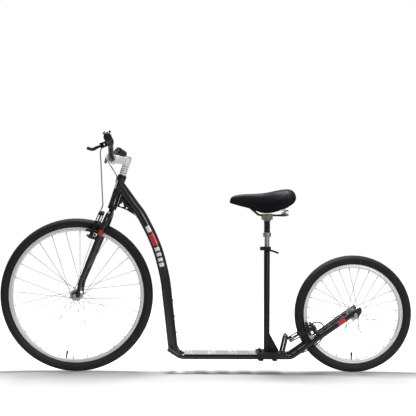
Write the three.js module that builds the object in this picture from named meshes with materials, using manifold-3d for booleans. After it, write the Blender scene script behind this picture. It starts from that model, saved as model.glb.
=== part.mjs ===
// A footbike: a large front wheel, a small rear wheel, a low deck between them and a bolted-on sprung seat.
// Millimetres, +Z up. The front wheel is at -X, the rider's left is -Y, and the origin is on the ground under
// the middle of the bike.

import * as THREE from 'three';
import { mergeVertices } from 'three/addons/utils/BufferGeometryUtils.js';
import Module from 'manifold-3d';

const wasm = await Module();
wasm.setup();

// Clearances
const seatGap = 0.3;
const runningGap = 0.4;
const overrun = 2;

// Wheels
const wheelbase = 1170;
const frontBeadRadius = 279.5;
const rearBeadRadius = 203;
const tyreHeight = 44;
const tyreWidth = 46;
const tyreWall = 4.5;
const tyreFoot = 4.5;
const rimLip = 6;
const rimDepth = 15.5;
const rimWidth = 24;
const rimWall = 2.2;
const rimFloor = 3;
const spokeCount = 28;
const spokeCrossings = 3;
const spokeRadius = 1;
const spokeEndGap = 0.6;
const spokeStagger = 1.6;
const flangeRadius = 23;
const spokeCircleRadius = 19.5;
const flangeOffset = 33;
const flangeThickness = 3.4;
const hubBarrelRadius = 11;
const hubEndRadius = 9.5;
const valveLength = 30;
const valveRadius = 3;
const frontValveDegrees = -99.2;
const rearValveDegrees = -91.7;

// Axles
const axleRadius = 4.8;
const frontHubSpacing = 100;
const rearHubSpacing = 116;
const dropoutThickness = 5;
const locknutRadius = 8;
const locknutThickness = 4;
const axleNutRadius = 8.5;
const axleNutThickness = 8;
const axleStub = 4;

// Steering
const headTiltDegrees = 17.5;
const crownClearance = 75.5;
const forkRake = 31;
const steererRadius = 11.5;
const steererWall = 2.5;
const steererFoot = 36;
const headTubeRadius = 18;
const headTubeWall = 2.5;
const headTubeLength = 116;
const cupHeight = 17;
const cupRadius = 18.5;
const spacerCount = 5;
const spacerHeight = 9.3;
const spacerRadius = 14.5;
const spacerGroove = 1;
const stemHeight = 30;
const stemRadius = 17;
const stemReach = 62;
const stemDrop = 9;
const stemWidth = 34;
const barClampRadius = 21;
const barClampWidth = 44;
const topCapThickness = 4;
const topCapRadius = 15;
const topBoltRadius = 5;

// Fork
const legRadius = 12;
const legTipRadius = 7.5;
const legWall = 2;
const legHalfTrack = 50;
const legBendDepth = 85;
const crownDepth = 23;
const ankleBack = 17;
const ankleRise = 44;
const legFootBack = 14.8;
const forkTabSize = 30;

// Handlebar
const barRadius = 11.1;
const barWall = 2;
const barCentreRadius = 12.7;
const barCentreWidth = 66;
const barRise = 54;
const barSweep = 16;
const barHalfWidth = 296;
const barBend = 20;
const gripLength = 125;
const gripRadius = 17;
const gripFlangeRadius = 20;
const gripFlangeThickness = 5;
const gripEndThickness = 4;

// Brake levers
const perchGap = 14.3;
const perchWidth = 16;
const perchWall = 5;
const leverPivotReach = 34;
const leverTiltDegrees = 22;
const leverReach = 79;
const leverSpan = 113;
const leverThickness = 10;
const leverBladeWidth = 11;
const leverTipRadius = 7;
const leverHubRadius = 8;
const leverPinRadius = 3;
const barrelRadius = 7;
const barrelLength = 16;

// Bell
const bellGap = 6;
const bellRadius = 12;
const bellWall = 1.5;
const bellHeight = 12;
const bellForward = 19;
const bellLift = 37;
const bellClampWidth = 10;
const bellClampWall = 4;
const bellStalkRadius = 3;
const hammerBallRadius = 5.5;
const hammerArmRadius = 1.8;
const hammerSetback = 14;
const hammerLift = 49;

// Brakes at the rims
const brakeArmLength = 112;
const brakeArmWidth = 15;
const brakeArmTipWidth = 12;
const brakeArmThickness = 7;
const brakeSlotLength = 26;
const brakeSlotWidth = 5;
const brakeSlotPlace = 84;
const brakePivotDrop = 23;
const brakePostRadius = 5;
const brakePostPlace = 42;
const brakePostOverhang = 13;
const brakeHubRadius = 9;
const brakeHubThickness = 16;
const wireHoleRadius = 2;
const padLength = 58;
const padHeight = 9;
const padThickness = 10;
const padGap = 1.5;
const padPostRadius = 3;
const wireRadius = 1.2;
const bootRadius = 4.5;
const bootLength = 34;
const bootRibs = 5;
const noodleRadius = 2.6;
const frontPivotBack = 34.8;
const rearPivotRise = 41;
const rearArmDegrees = 209.4;
const rearPivotDegrees = 198.1;
const wireMargin = 10;

// Frame
const mainTubeRadius = 21;
const mainTubeWall = 2;
const mainTubeJoin = 100;
const gussetSize = 100;
const gussetThickness = 4;
const railRadius = 10.5;
const railWall = 2;
const railHalfTrack = 50;
const railHeight = 69.5;
const railFrontX = -157;
const railFrontRise = 34;
const railKinkLength = 53;
const railRearX = 359;
const railBend = 30;
const stayRise = 198.6;
const stayRun = 279;
const dropoutSize = 40;
const crossTubeRadius = 11;
const crossTubeWall = 2;
const crossTubeX = -137;
const crossTubeHeight = 88;
const bossRadius = 4;
const bossHeight = 3;

// Deck
const deckFrontX = -90;
const deckRearX = 311;
const deckThickness = 2;
const deckHalfWidth = 61;
const deckSlotLength = 11;
const deckSlotWidth = 32;
const deckSlotPitch = 89;
const deckSlotFirstX = -63;
const deckSlotGroups = 4;
const deckSlotSpread = 8.5;
const deckSlotRowOffset = 24;
const hoopTubeRadius = 6;
const hoopFootX = 320;
const hoopHeight = 76;
const hoopLean = 20;
const hoopBend = 22;

// Seat
const seatX = 259;
const footPlateFrontX = 214;
const footPlateThickness = 5;
const footPlateHalfWidth = 65.3;
const footFlangeThickness = 4;
const footFlangeFoot = 62;
const footBoltRadius = 5;
const footBoltProud = 3;
const footBoltDrop = 9;
const clampBarFrontX = 231;
const clampBarRearX = 289;
const clampBarWidth = 20;
const clampBarThickness = 5;
const clampBoltRadius = 4;
const clampBoltPlace = 30;
const clampNutRadius = 7.5;
const clampNutThickness = 6.5;
const clampBarReach = 62;
const seatTubeRadius = 12.7;
const seatTubeWall = 1.9;
const seatTubeTop = 530;
const seatGussetRise = 72;
const seatGussetRun = 38;
const seatGussetThickness = 4;
const collarHeight = 16;
const collarWall = 4;
const collarLugReach = 12;
const collarLugWidth = 9;
const collarSlit = 3;
const skewerRadius = 2.5;
const skewerNutRadius = 6;
const camRadius = 7;
const camHalfHeight = 5;
const camLength = 9;
const collarLeverLength = 66;
const collarLeverDrop = 18;
const collarLeverRadius = 4;
const collarKnobRadius = 4.8;
const postWall = 2;
const postFoot = 300;
const postTop = 571;
const postHeadRadius = 17;
const postHeadHeight = 19;
const shaftFoot = 440;
const bootTop = 638;
const boot = { radius: 12, valleyRadius: 10, ribs: 6 };
const cradleHeight = 10;
const cradleWidth = 30;
const cradleLength = 30;
const clampRollRadius = 11;
const clampEarThickness = 11;
const clampEarHeight = 24;
const clampEarLength = 44;
const clampRailRise = 9;
const saddleRailRadius = 3.5;
const saddleRailFrontX = 165;
const saddleRailFrontPlace = 12;
const saddleRailRearX = 298;
const saddleRailBend = 12;
const springBarWidth = 12;
const springBarThickness = 4;

// Saddle
const saddleNoseX = 100.7;
const saddleLength = 274.7;
const saddleHalfWidth = 96;
const saddleTop = 773.4;
const saddleDepth = 100;
const saddleBaseThickness = 4;
const springRadius = 10;
const springWireRadius = 2;
const springCurls = 4;
const springX = 334;
const springPlace = 44;

// Cables, in places chosen by hand along their routes
const cableRadius = 2.5;
const frontCableRoute = [
  [-26.55, -128.55, 38.79], [-26.7, -123.5, 38.6], [-30, -118, 33.5], [-36, -112.5, 14], [-34.8, -104, -22],
  [-33.4, -84, -106], [-32.2, -66, -178], [-32.1, -59.6, -197.4], [-33.8, -58.2, -204.2],
  [-35.98, -58.02, -209.09],
];
const rearCableUpperRoute = [
  [-98.99, 128.55, 224.21], [-99.2, 123.5, 224.1], [-103, 114, 217], [-103, 102, 200], [-86, 78, 182],
  [-64, 54, 165], [-44, 36, 150], [-30, 28, 138], [-23, 25.4, 127], [-22, 25.2, 117.7],
];
const rearCableLowerRoute = [
  [-383.2, 25.2, 812.4], [-384.5, 25.2, 806], [-381, 24.8, 790], [-366, 24.6, 768], [-340, 24.4, 748],
  [-305, 24.4, 704], [-279, 24.4, 669], [-250, 24.4, 619], [-220, 24.4, 555], [-203, 24.4, 510],
  [-185, 24.4, 450], [-171, 24.4, 386], [-161, 24.4, 301], [-151, 24.4, 216], [-143, 24.4, 160],
  [-134, 24.4, 126], [-119, 24.4, 103], [-109, 23, 83], [-97, 22, 77.4], [-84, 21, 76.8], [60, 20, 77.2],
  [200, 20, 77.2], [290, 18, 77.2], [342, 4, 76], [385, -18, 79], [415, -29, 88], [446, -33, 107],
  [484, -34, 138], [497, -34, 170],
  [493, -36, 200], [476, -44, 214], [450, -54, 213], [420, -60, 196], [390, -60, 171], [374.9, -59.1, 156.3],
  [370.8, -59, 151.95],
];
const frontNoodleRoute = [
  [0, -47.6, brakeArmLength], [0.2, -54, brakeArmLength + 0.6], [0.6, -57.6, brakeArmLength + 6],
  [0.8, -58, brakeArmLength + 17.4],
];
const rearNoodleRoute = [
  [0, -47.6, brakeArmLength], [0.5, -55, brakeArmLength - 1], [2.5, -59, brakeArmLength - 9],
  [6, -59, brakeArmLength - 20],
];

// Counts of facets
const ringSegments = 36;
const smallRingSegments = 14;
const hubSegments = 12;
const roundSides = 10;
const tubeSides = 10;
const boreSides = 5;
const slimSides = 6;
const midSides = 8;
const spokeSides = 3;
const bendSteps = 2;
const legBendSteps = 4;
const noodleSteps = 6;
const springSides = 5;
const stepsPerCurl = 8;
const nutSides = 6;
const ballSides = 8;
const ballRings = 6;
const collarLeverSteps = 4;
const frontCableSteps = 14;
const rearCableUpperSteps = 16;
const rearCableLowerSteps = 40;

// Places worked out from the sizes above
const frontTyreRadius = frontBeadRadius + tyreHeight;
const rearTyreRadius = rearBeadRadius + tyreHeight;
const overallLength = wheelbase + frontTyreRadius + rearTyreRadius;
const frontAxleX = -overallLength / 2 + frontTyreRadius;
const rearAxleX = overallLength / 2 - rearTyreRadius;
const headTilt = THREE.MathUtils.degToRad(headTiltDegrees);
const forkLength = frontTyreRadius + crownClearance;
const headX = frontAxleX + forkLength * Math.sin(headTilt) + forkRake * Math.cos(headTilt);
const headZ = frontTyreRadius + forkLength * Math.cos(headTilt) - forkRake * Math.sin(headTilt);
const headTubeFoot = cupHeight / 2 + seatGap;
const upperCupFoot = headTubeFoot + headTubeLength + seatGap;
const spacersFoot = upperCupFoot + cupHeight + seatGap;
const stemFoot = spacersFoot + spacerCount * spacerHeight + seatGap;
const stemTop = stemFoot + stemHeight;
const barHeight = stemFoot + stemHeight / 2 - stemDrop;
const deckBottom = railHeight + railRadius + seatGap;
const deckTop = deckBottom + deckThickness;
const footPlateBottom = deckTop + seatGap;
const footPlateTop = footPlateBottom + footPlateThickness;
const postRadius = seatTubeRadius - seatTubeWall - runningGap;
const shaftRadius = postRadius - postWall - runningGap;
const padTrackInset = rimLip / 2 + padHeight / 2;
const gripStart = barHalfWidth + seatGap + gripEndThickness - gripLength;
const perchPlace = gripStart - perchGap - perchWidth / 2;
const bellPlace = perchPlace - perchWidth / 2 - bellGap - bellClampWidth / 2;

const colours = {
  frame: new THREE.MeshStandardMaterial({ color: 0x141416, roughness: 0.25, metalness: 0.3 }),
  rubber: new THREE.MeshStandardMaterial({ color: 0x2c2c2f, roughness: 0.85, metalness: 0 }),
  alloy: new THREE.MeshStandardMaterial({ color: 0xd0d0d6, roughness: 0.35, metalness: 0.9 }),
  steel: new THREE.MeshStandardMaterial({ color: 0xb4b6b8, roughness: 0.3, metalness: 1 }),
  plastic: new THREE.MeshStandardMaterial({ color: 0x1c1c1e, roughness: 0.5, metalness: 0 }),
  deck: new THREE.MeshStandardMaterial({ color: 0x8e8e90, roughness: 0.7, metalness: 0.2 }),
  cable: new THREE.MeshStandardMaterial({ color: 0x8a8a8c, roughness: 0.5, metalness: 0 }),
  saddle: new THREE.MeshStandardMaterial({ color: 0x15151b, roughness: 0.6, metalness: 0 }),
};

// A closed geometry as a solid with its faces pointing out
function solid(geometry) {
  const bare = geometry.clone();
  bare.deleteAttribute('normal');
  bare.deleteAttribute('uv');
  const merged = mergeVertices(bare, 1e-4);
  const index = merged.index.array;
  const triangles = [];
  for (let i = 0; i < index.length; i += 3) {
    const [a, b, c] = [index[i], index[i + 1], index[i + 2]];
    if (a !== b && b !== c && c !== a) {
      triangles.push(a, b, c);
    }
  }
  const made = makeSolid(merged.attributes.position.array, triangles);
  if (made.volume() > 0) {
    return made;
  }
  for (let i = 0; i < triangles.length; i += 3) {
    [triangles[i], triangles[i + 1]] = [triangles[i + 1], triangles[i]];
  }
  return makeSolid(merged.attributes.position.array, triangles);
}

function makeSolid(positions, triangles) {
  const vertProperties = new Float32Array(positions);
  const mesh = new wasm.Mesh({ numProp: 3, vertProperties, triVerts: new Uint32Array(triangles) });
  return new wasm.Manifold(mesh);
}

function join(parts) {
  return parts.reduce((whole, part) => whole.add(part));
}

function piece(group, name, shape, material) {
  const { vertProperties, triVerts } = shape.getMesh();
  const geometry = new THREE.BufferGeometry();
  geometry.setAttribute('position', new THREE.BufferAttribute(new Float32Array(vertProperties), 3));
  geometry.setIndex(new THREE.BufferAttribute(new Uint32Array(triVerts), 1));
  geometry.computeVertexNormals();
  const mesh = new THREE.Mesh(geometry, material);
  mesh.name = name;
  group.add(mesh);
}

function frameAt(parent, x, y, z, turnY = 0) {
  const group = new THREE.Group();
  group.position.set(x, y, z);
  group.rotation.y = turnY;
  parent.add(group);
  return group;
}

const at = (x, y, z) => new THREE.Vector3(x, y, z);

// The radius of a faceted bore that clears a round bar all the way round
const boreRadius = (radius, gap, sides = roundSides) => (radius + gap) / Math.cos(Math.PI / sides);

// A round bar from one point to another, tapered where the second radius differs
function rod(from, to, radius, sides = roundSides, endRadius = radius) {
  const along = to.clone().sub(from);
  const geometry = new THREE.CylinderGeometry(endRadius, radius, along.length(), sides);
  geometry.translate(0, along.length() / 2, 0);
  geometry.applyQuaternion(new THREE.Quaternion().setFromUnitVectors(at(0, 1, 0), along.normalize()));
  geometry.translate(from.x, from.y, from.z);
  return solid(geometry);
}

function ball(centre, radius) {
  const geometry = new THREE.SphereGeometry(radius, ballSides, ballRings);
  geometry.translate(centre.x, centre.y, centre.z);
  return solid(geometry);
}

function block(sizeX, sizeY, sizeZ, x, y, z) {
  const geometry = new THREE.BoxGeometry(sizeX, sizeY, sizeZ);
  geometry.translate(x, y, z);
  return solid(geometry);
}

// A profile of [radius, height] points turned about Y, or about Z when upright
function turned(profile, segments, upright = true) {
  const points = profile.map(([radius, height]) => new THREE.Vector2(radius, height));
  const geometry = new THREE.LatheGeometry(points, segments);
  if (upright) {
    geometry.rotateX(Math.PI / 2);
  }
  return solid(geometry);
}

function pipe(outer, inner, low, high, segments = smallRingSegments) {
  return turned([[inner, low], [outer, low], [outer, high], [inner, high], [inner, low]], segments);
}

function circlePoints(radius, sides) {
  const points = [];
  for (let i = 0; i < sides; i += 1) {
    const angle = (i / sides) * 2 * Math.PI;
    points.push(new THREE.Vector2(radius * Math.cos(angle), radius * Math.sin(angle)));
  }
  return points;
}

// A tube along a path, hollow and open at both ends where it has an inner radius
function tube(path, radius, steps, sides = roundSides, inner = 0) {
  const shape = new THREE.Shape(circlePoints(radius, sides));
  if (inner > 0) {
    shape.holes.push(new THREE.Path(circlePoints(inner, boreSides)));
  }
  return solid(new THREE.ExtrudeGeometry(shape, { steps, bevelEnabled: false, extrudePath: path }));
}

// A path of straight steps from point to point, squared to the step before and after at each point
class SteppedPath extends THREE.Curve {
  constructor(points) {
    super();
    this.points = points;
  }

  getPoint(t) {
    const place = t * (this.points.length - 1);
    const from = Math.min(Math.floor(place + 1e-9), this.points.length - 2);
    return this.points[from].clone().lerp(this.points[from + 1], place - from);
  }

  getPointAt(t) {
    return this.getPoint(t);
  }

  getTangentAt(t) {
    const place = Math.round(t * (this.points.length - 1));
    const here = this.points[place];
    const before = this.points[place - 1];
    const after = this.points[place + 1];
    const tangent = at(0, 0, 0);
    if (before) {
      tangent.add(here.clone().sub(before).normalize());
    }
    if (after) {
      tangent.add(after.clone().sub(here).normalize());
    }
    return tangent.normalize();
  }
}

// Straight runs through the corners, each inner corner rounded over a length on either side of it
function bentPath(corners, bend) {
  const points = [corners[0]];
  for (let i = 1; i < corners.length - 1; i += 1) {
    const before = corners[i].clone().lerp(corners[i - 1], bend / corners[i].distanceTo(corners[i - 1]));
    const after = corners[i].clone().lerp(corners[i + 1], bend / corners[i].distanceTo(corners[i + 1]));
    points.push(...new THREE.QuadraticBezierCurve3(before, corners[i], after).getPoints(bendSteps));
  }
  points.push(corners[corners.length - 1]);
  return new SteppedPath(points);
}

// A tube along a bent path takes one step for each of the path's points
function bentTube(path, radius, inner = 0) {
  return tube(path, radius, path.points.length - 1, tubeSides, inner);
}

// A flat plate with an outline of [x, z] points, centred on a place across the bike
function plate(outline, thickness, y = 0) {
  const shape = new THREE.Shape(outline.map(([x, z]) => new THREE.Vector2(x, z)));
  const geometry = new THREE.ExtrudeGeometry(shape, { depth: thickness, bevelEnabled: false });
  geometry.rotateX(Math.PI / 2);
  geometry.translate(0, y + thickness / 2, 0);
  return solid(geometry);
}

const bike = new THREE.Group();
const steering = frameAt(bike, headX, 0, headZ, headTilt);
const frontWheel = frameAt(steering, -forkRake, 0, -forkLength, -headTilt);
const rearWheel = frameAt(bike, rearAxleX, 0, rearTyreRadius);
const bar = frameAt(steering, -stemReach, 0, barHeight, -headTilt);
const sides = [['left', -1], ['right', 1]];

function tyre(bead) {
  const footY = rimWidth / 2 - rimWall - seatGap;
  const half = tyreWidth / 2;
  const footLow = bead - tyreFoot;
  const footHigh = bead + rimLip + seatGap;
  const bulge = tyreHeight - rimLip - seatGap;
  const outerShares = [[0.3, 0.94], [0.7, 0.9], [1, 0.28]];
  const innerShares = [[0.66, 0.9]];
  const outer = outerShares.map(([up, out]) => [footHigh + bulge * up, half * out]);
  const inner = innerShares.map(([up, out]) => [footHigh + (bulge - tyreWall) * up, (half - tyreWall) * out]);
  const side = [[footLow, footY], [footHigh, footY], ...outer];
  const liner = [[footLow, footY - tyreWall], ...inner];
  const mirror = (points) => points.map(([r, y]) => [r, -y]);
  const outside = [...side, ...mirror(side).reverse()];
  const profile = [...outside, ...mirror(liner), ...liner.slice().reverse(), side[0]];
  return turned(profile, ringSegments, false);
}

function rim(bead, valveDegrees) {
  const half = rimWidth / 2;
  const lip = bead + rimLip;
  const floor = lip - rimDepth;
  const profile = [
    [floor, -half], [lip, -half], [lip, -half + rimWall], [floor + rimFloor, -half + rimWall],
    [floor + rimFloor, half - rimWall], [lip, half - rimWall], [lip, half], [floor, half], [floor, -half],
  ];
  const angle = THREE.MathUtils.degToRad(valveDegrees);
  const out = at(Math.cos(angle), 0, Math.sin(angle));
  const valve = rod(
    out.clone().multiplyScalar(floor - valveLength), out.clone().multiplyScalar(floor + rimFloor / 2),
    valveRadius, slimSides,
  );
  return turned(profile, ringSegments, false).add(valve);
}

function hubShell(spacing) {
  const bore = axleRadius + runningGap;
  const end = spacing / 2 - locknutThickness - runningGap;
  const inner = flangeOffset - flangeThickness / 2;
  const outer = flangeOffset + flangeThickness / 2;
  const half = [
    [hubBarrelRadius, inner - flangeThickness], [flangeRadius, inner], [flangeRadius, outer],
    [hubBarrelRadius, outer + flangeThickness], [hubEndRadius, end],
  ];
  const mirror = half.map(([r, y]) => [r, -y]).reverse();
  return turned([[bore, -end], ...mirror, ...half, [bore, end], [bore, -end]], hubSegments, false);
}

function spokedHub(bead, spacing, valveDegrees) {
  const rimReach = (bead + rimLip - rimDepth) * Math.cos(Math.PI / ringSegments) - spokeEndGap;
  const step = (2 * Math.PI) / spokeCount;
  const parts = [hubShell(spacing)];
  for (let i = 0; i < spokeCount; i += 1) {
    const side = i % 2 === 0 ? -1 : 1;
    const lead = i % 4 < 2 ? 1 : -1;
    const rimAngle = THREE.MathUtils.degToRad(valveDegrees) + (i + 0.5) * step;
    const hubAngle = rimAngle + lead * spokeCrossings * 2 * step;
    const hubY = side * (flangeOffset + lead * spokeStagger);
    const hole = at(Math.cos(hubAngle) * spokeCircleRadius, hubY, Math.sin(hubAngle) * spokeCircleRadius);
    const end = at(Math.cos(rimAngle) * rimReach, side * spokeStagger, Math.sin(rimAngle) * rimReach);
    parts.push(rod(hole, end, spokeRadius, spokeSides));
  }
  return join(parts);
}

// An axle along Y with its inner locknuts and outer hexagon nuts
function axle(spacing) {
  const face = spacing / 2;
  const nutFace = face + dropoutThickness + seatGap;
  const reach = nutFace + axleNutThickness + axleStub;
  const parts = [rod(at(0, -reach, 0), at(0, reach, 0), axleRadius)];
  for (const [, side] of sides) {
    const locknutFrom = at(0, side * (face - seatGap - locknutThickness), 0);
    parts.push(rod(locknutFrom, at(0, side * (face - seatGap), 0), locknutRadius));
    const nutEnd = nutFace + axleNutThickness;
    parts.push(rod(at(0, side * nutFace, 0), at(0, side * nutEnd, 0), axleNutRadius, nutSides));
  }
  return join(parts);
}

function addWheel(group, prefix, bead, spacing, valveDegrees) {
  piece(group, `${prefix}_tyre`, tyre(bead), colours.rubber);
  piece(group, `${prefix}_rim`, rim(bead, valveDegrees), colours.alloy);
  piece(group, `${prefix}_hub_and_spokes`, spokedHub(bead, spacing, valveDegrees), colours.steel);
  piece(group, `${prefix}_axle`, axle(spacing), colours.steel);
}

function steerer() {
  const bored = pipe(steererRadius, steererRadius - steererWall, -steererFoot, stemTop);
  const capFoot = stemTop + seatGap;
  const cap = rod(at(0, 0, capFoot), at(0, 0, capFoot + topCapThickness), topCapRadius, smallRingSegments);
  const [neckFoot, neckTop] = [at(0, 0, stemTop - overrun), at(0, 0, capFoot + overrun)];
  const neck = rod(neckFoot, neckTop, steererRadius, smallRingSegments);
  const boltTop = capFoot + topCapThickness + overrun;
  const bolt = rod(at(0, 0, capFoot), at(0, 0, boltTop), topBoltRadius, nutSides);
  return join([bored, cap, neck, bolt]);
}

// A tube round a bend and then straight to each of its ends in turn, slimmer from the first of them on
function taperedLeg(corners, ends, radius, endRadius, sides) {
  const bend = new THREE.QuadraticBezierCurve3(...corners).getPoints(legBendSteps);
  const points = [...bend, ...ends];
  const path = new SteppedPath(points);
  const frames = path.computeFrenetFrames(points.length - 1);
  return loft(points.map((point, i) => {
    const stationRadius = i < bend.length ? radius : endRadius;
    return circlePoints(stationRadius, sides).map(({ x, y }) => point.clone()
      .addScaledVector(frames.normals[i], x)
      .addScaledVector(frames.binormals[i], y));
  }));
}

// The dropout tab round the axle, in shares of its size behind and above the axle
const forkTabShares = [[-0.42, -0.28], [0.62, -0.28], [0.72, 0.3], [0.3, 0.6], [-0.2, 0.45], [-0.42, 0.2]];

// A place in the steering frame from its distances behind and above the front axle
function nearAxle(back, up, y) {
  const x = -forkRake + back * Math.cos(headTilt) - up * Math.sin(headTilt);
  return at(x, y, -forkLength + back * Math.sin(headTilt) + up * Math.cos(headTilt));
}

// The leg leaves the steerer's foot, bends down past the tyre, runs straight to an ankle and ends upright
// behind the axle
function forkLeg(side) {
  const tipY = side * (frontHubSpacing / 2 + dropoutThickness / 2);
  const ankle = nearAxle(ankleBack, ankleRise, tipY);
  const foot = nearAxle(legFootBack, 0, tipY);
  const start = at(0, side * (steererRadius / 2), -crownDepth);
  const corner = at(0, side * legHalfTrack, -crownDepth - legRadius / 2);
  const kneeShare = (legBendDepth - crownDepth) / (-ankle.z - crownDepth);
  const knee = at(ankle.x * kneeShare, side * legHalfTrack, -legBendDepth);
  const outer = taperedLeg([start, corner, knee], [ankle, foot], legRadius, legTipRadius, tubeSides);
  const inside = [start.clone().setY(0), corner, knee];
  const bore = taperedLeg(inside, [ankle], legRadius - legWall, legTipRadius - legWall, boreSides);
  const steererSpace = rod(
    at(0, 0, -steererFoot - overrun), at(0, 0, overrun), steererRadius + seatGap, smallRingSegments,
  );
  const cupSpace = rod(at(0, 0, -cupHeight / 2 - seatGap), at(0, 0, overrun), cupRadius + overrun);
  const slot = axleRadius + seatGap;
  const wide = dropoutThickness + overrun;
  const tab = plate(forkTabShares.map(([back, up]) => {
    const corner = nearAxle(forkTabSize * back, forkTabSize * up, 0);
    return [corner.x, corner.z];
  }), dropoutThickness, tipY);
  const slotFoot = nearAxle(0, -forkTabSize, tipY);
  const slotCut = rod(at(-forkRake, tipY - wide, -forkLength), at(-forkRake, tipY + wide, -forkLength), slot)
    .add(plate([
      [-forkRake - slot, -forkLength], [-forkRake + slot, -forkLength], [slotFoot.x + slot, slotFoot.z],
      [slotFoot.x - slot, slotFoot.z],
    ], wide, tipY));
  const nutCut = rod(
    at(-forkRake, tipY + side * (dropoutThickness / 2), -forkLength),
    at(-forkRake, tipY + side * forkTabSize, -forkLength),
    axleNutRadius + seatGap,
  );
  const faceCut = block(
    forkTabSize * 4, legRadius * 2, forkTabSize * 2, -forkRake,
    side * (frontHubSpacing / 2 - legRadius), -forkLength,
  );
  const pivot = frontPivot();
  const turn = at(Math.cos(pivot.turn), 0, -Math.sin(pivot.turn));
  const postFrom = at(pivot.x, side * brakePostPlace, pivot.z).addScaledVector(turn, frontPivotBack);
  const postTo = at(pivot.x, side * brakePostPlace, pivot.z).addScaledVector(turn, -brakePostOverhang);
  const post = rod(postFrom, postTo, brakePostRadius, midSides);
  const hubShare = brakePostOverhang + brakeHubThickness / 2;
  const collarTo = postTo.clone().addScaledVector(turn, hubShare + seatGap);
  const collar = rod(postFrom, collarTo, brakePostRadius + overrun, midSides);
  const shell = outer.subtract(bore).subtract(faceCut).subtract(nutCut).add(tab).add(post).add(collar);
  return shell.subtract(steererSpace).subtract(cupSpace).subtract(slotCut);
}

// The front brake's pivot in the steering frame, worked out from the wheel that it reaches
function frontPivot() {
  const lean = Math.atan(forkRake / (forkLength - crownDepth));
  const radius = frontBeadRadius + rimLip - padTrackInset - brakePivotDrop;
  const back = Math.asin(frontPivotBack / radius);
  const direction = lean - back;
  const [along, up] = [radius * Math.sin(direction), radius * Math.cos(direction)];
  return { x: -forkRake + along, z: -forkLength + up, turn: lean };
}

function rearPivot() {
  const radius = rearBeadRadius + rimLip - padTrackInset - brakePivotDrop;
  const angle = THREE.MathUtils.degToRad(rearPivotDegrees);
  const armAngle = THREE.MathUtils.degToRad(rearArmDegrees);
  return {
    x: rearAxleX + radius * Math.cos(angle),
    z: rearTyreRadius + radius * Math.sin(angle),
    turn: Math.PI / 2 - armAngle,
  };
}

// The half height of the stem's front end, as a share of its clamp's radius
const stemEndShare = 0.8;

function stem() {
  const middle = stemFoot + stemHeight / 2;
  const clampZ = middle - stemDrop;
  const neck = plate([
    [-stemRadius, stemFoot], [0, stemFoot], [0, stemTop],
    [-stemReach, clampZ + barClampRadius * stemEndShare],
    [-stemReach, clampZ - barClampRadius * stemEndShare],
  ], stemWidth);
  const clamp = rod(
    at(-stemReach, -barClampWidth / 2, clampZ), at(-stemReach, barClampWidth / 2, clampZ), barClampRadius,
    smallRingSegments,
  );
  const collar = rod(at(0, 0, stemFoot), at(0, 0, stemTop), stemRadius, smallRingSegments);
  const bore = rod(
    at(0, 0, stemFoot - overrun), at(0, 0, stemTop + overrun),
    boreRadius(steererRadius, seatGap, smallRingSegments), smallRingSegments,
  );
  const barBore = rod(
    at(-stemReach, -barClampWidth, clampZ), at(-stemReach, barClampWidth, clampZ),
    boreRadius(barCentreRadius, seatGap, smallRingSegments), smallRingSegments,
  );
  return join([neck, clamp, collar]).subtract(bore).subtract(barBore);
}

function spacers() {
  const inner = boreRadius(steererRadius, seatGap, hubSegments);
  const profile = [[inner, spacersFoot]];
  for (let i = 0; i < spacerCount; i += 1) {
    const low = spacersFoot + i * spacerHeight;
    const high = low + spacerHeight;
    profile.push([spacerRadius - spacerGroove, low], [spacerRadius, (low + high) / 2]);
  }
  const top = spacersFoot + spacerCount * spacerHeight;
  profile.push([spacerRadius - spacerGroove, top], [inner, top], [inner, spacersFoot]);
  return turned(profile, hubSegments);
}

// The bar's corners from its middle to one end: how far out, and the shares of its sweep and rise
const barBendPlace = bellPlace - bellClampWidth / 2 - barBend - seatGap;
const barCorners = [[barCentreWidth / 2, 0, 0], [barBendPlace, 0.3, 0.94], [barHalfWidth, 1, 1]];

function barPoint(side, [out, sweep, rise]) {
  return at(barSweep * sweep, side * out, barRise * rise);
}

function barAt(side, place) {
  const [, bendCorner, endCorner] = barCorners;
  const from = barPoint(side, bendCorner);
  const to = barPoint(side, endCorner);
  return from.clone().lerp(to, (place - Math.abs(from.y)) / (Math.abs(to.y) - Math.abs(from.y)));
}

function handlebar() {
  const half = barCorners.map((corner) => barPoint(1, corner));
  const other = barCorners.map((corner) => barPoint(-1, corner)).reverse();
  const path = bentPath([...other, ...half], barBend);
  const outer = bentTube(path, barRadius, barRadius - barWall);
  const reach = barCentreWidth / 2;
  const middle = rod(at(0, -reach, 0), at(0, reach, 0), barCentreRadius, hubSegments);
  const hollow = rod(at(0, -barCentreWidth, 0), at(0, barCentreWidth, 0), barRadius - barWall / 2, tubeSides);
  return outer.add(middle.subtract(hollow));
}

function grip(side) {
  const from = barAt(side, gripStart);
  const to = barAt(side, gripStart + gripLength);
  const length = from.distanceTo(to);
  const inner = boreRadius(barRadius, seatGap);
  const depth = length - gripEndThickness;
  const profile = [
    [inner, 0], [gripFlangeRadius, 0], [gripFlangeRadius, gripFlangeThickness],
    [gripRadius, gripFlangeThickness],
    [gripRadius, length - gripEndThickness], [gripRadius - gripEndThickness, length], [0, length], [0, depth],
    [inner, depth], [inner, 0],
  ].map(([radius, height]) => new THREE.Vector2(radius, height));
  const geometry = new THREE.LatheGeometry(profile, roundSides);
  const along = to.clone().sub(from).normalize();
  geometry.applyQuaternion(new THREE.Quaternion().setFromUnitVectors(at(0, 1, 0), along));
  geometry.translate(from.x, from.y, from.z);
  return solid(geometry);
}

const leverTilt = THREE.MathUtils.degToRad(leverTiltDegrees);

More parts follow.
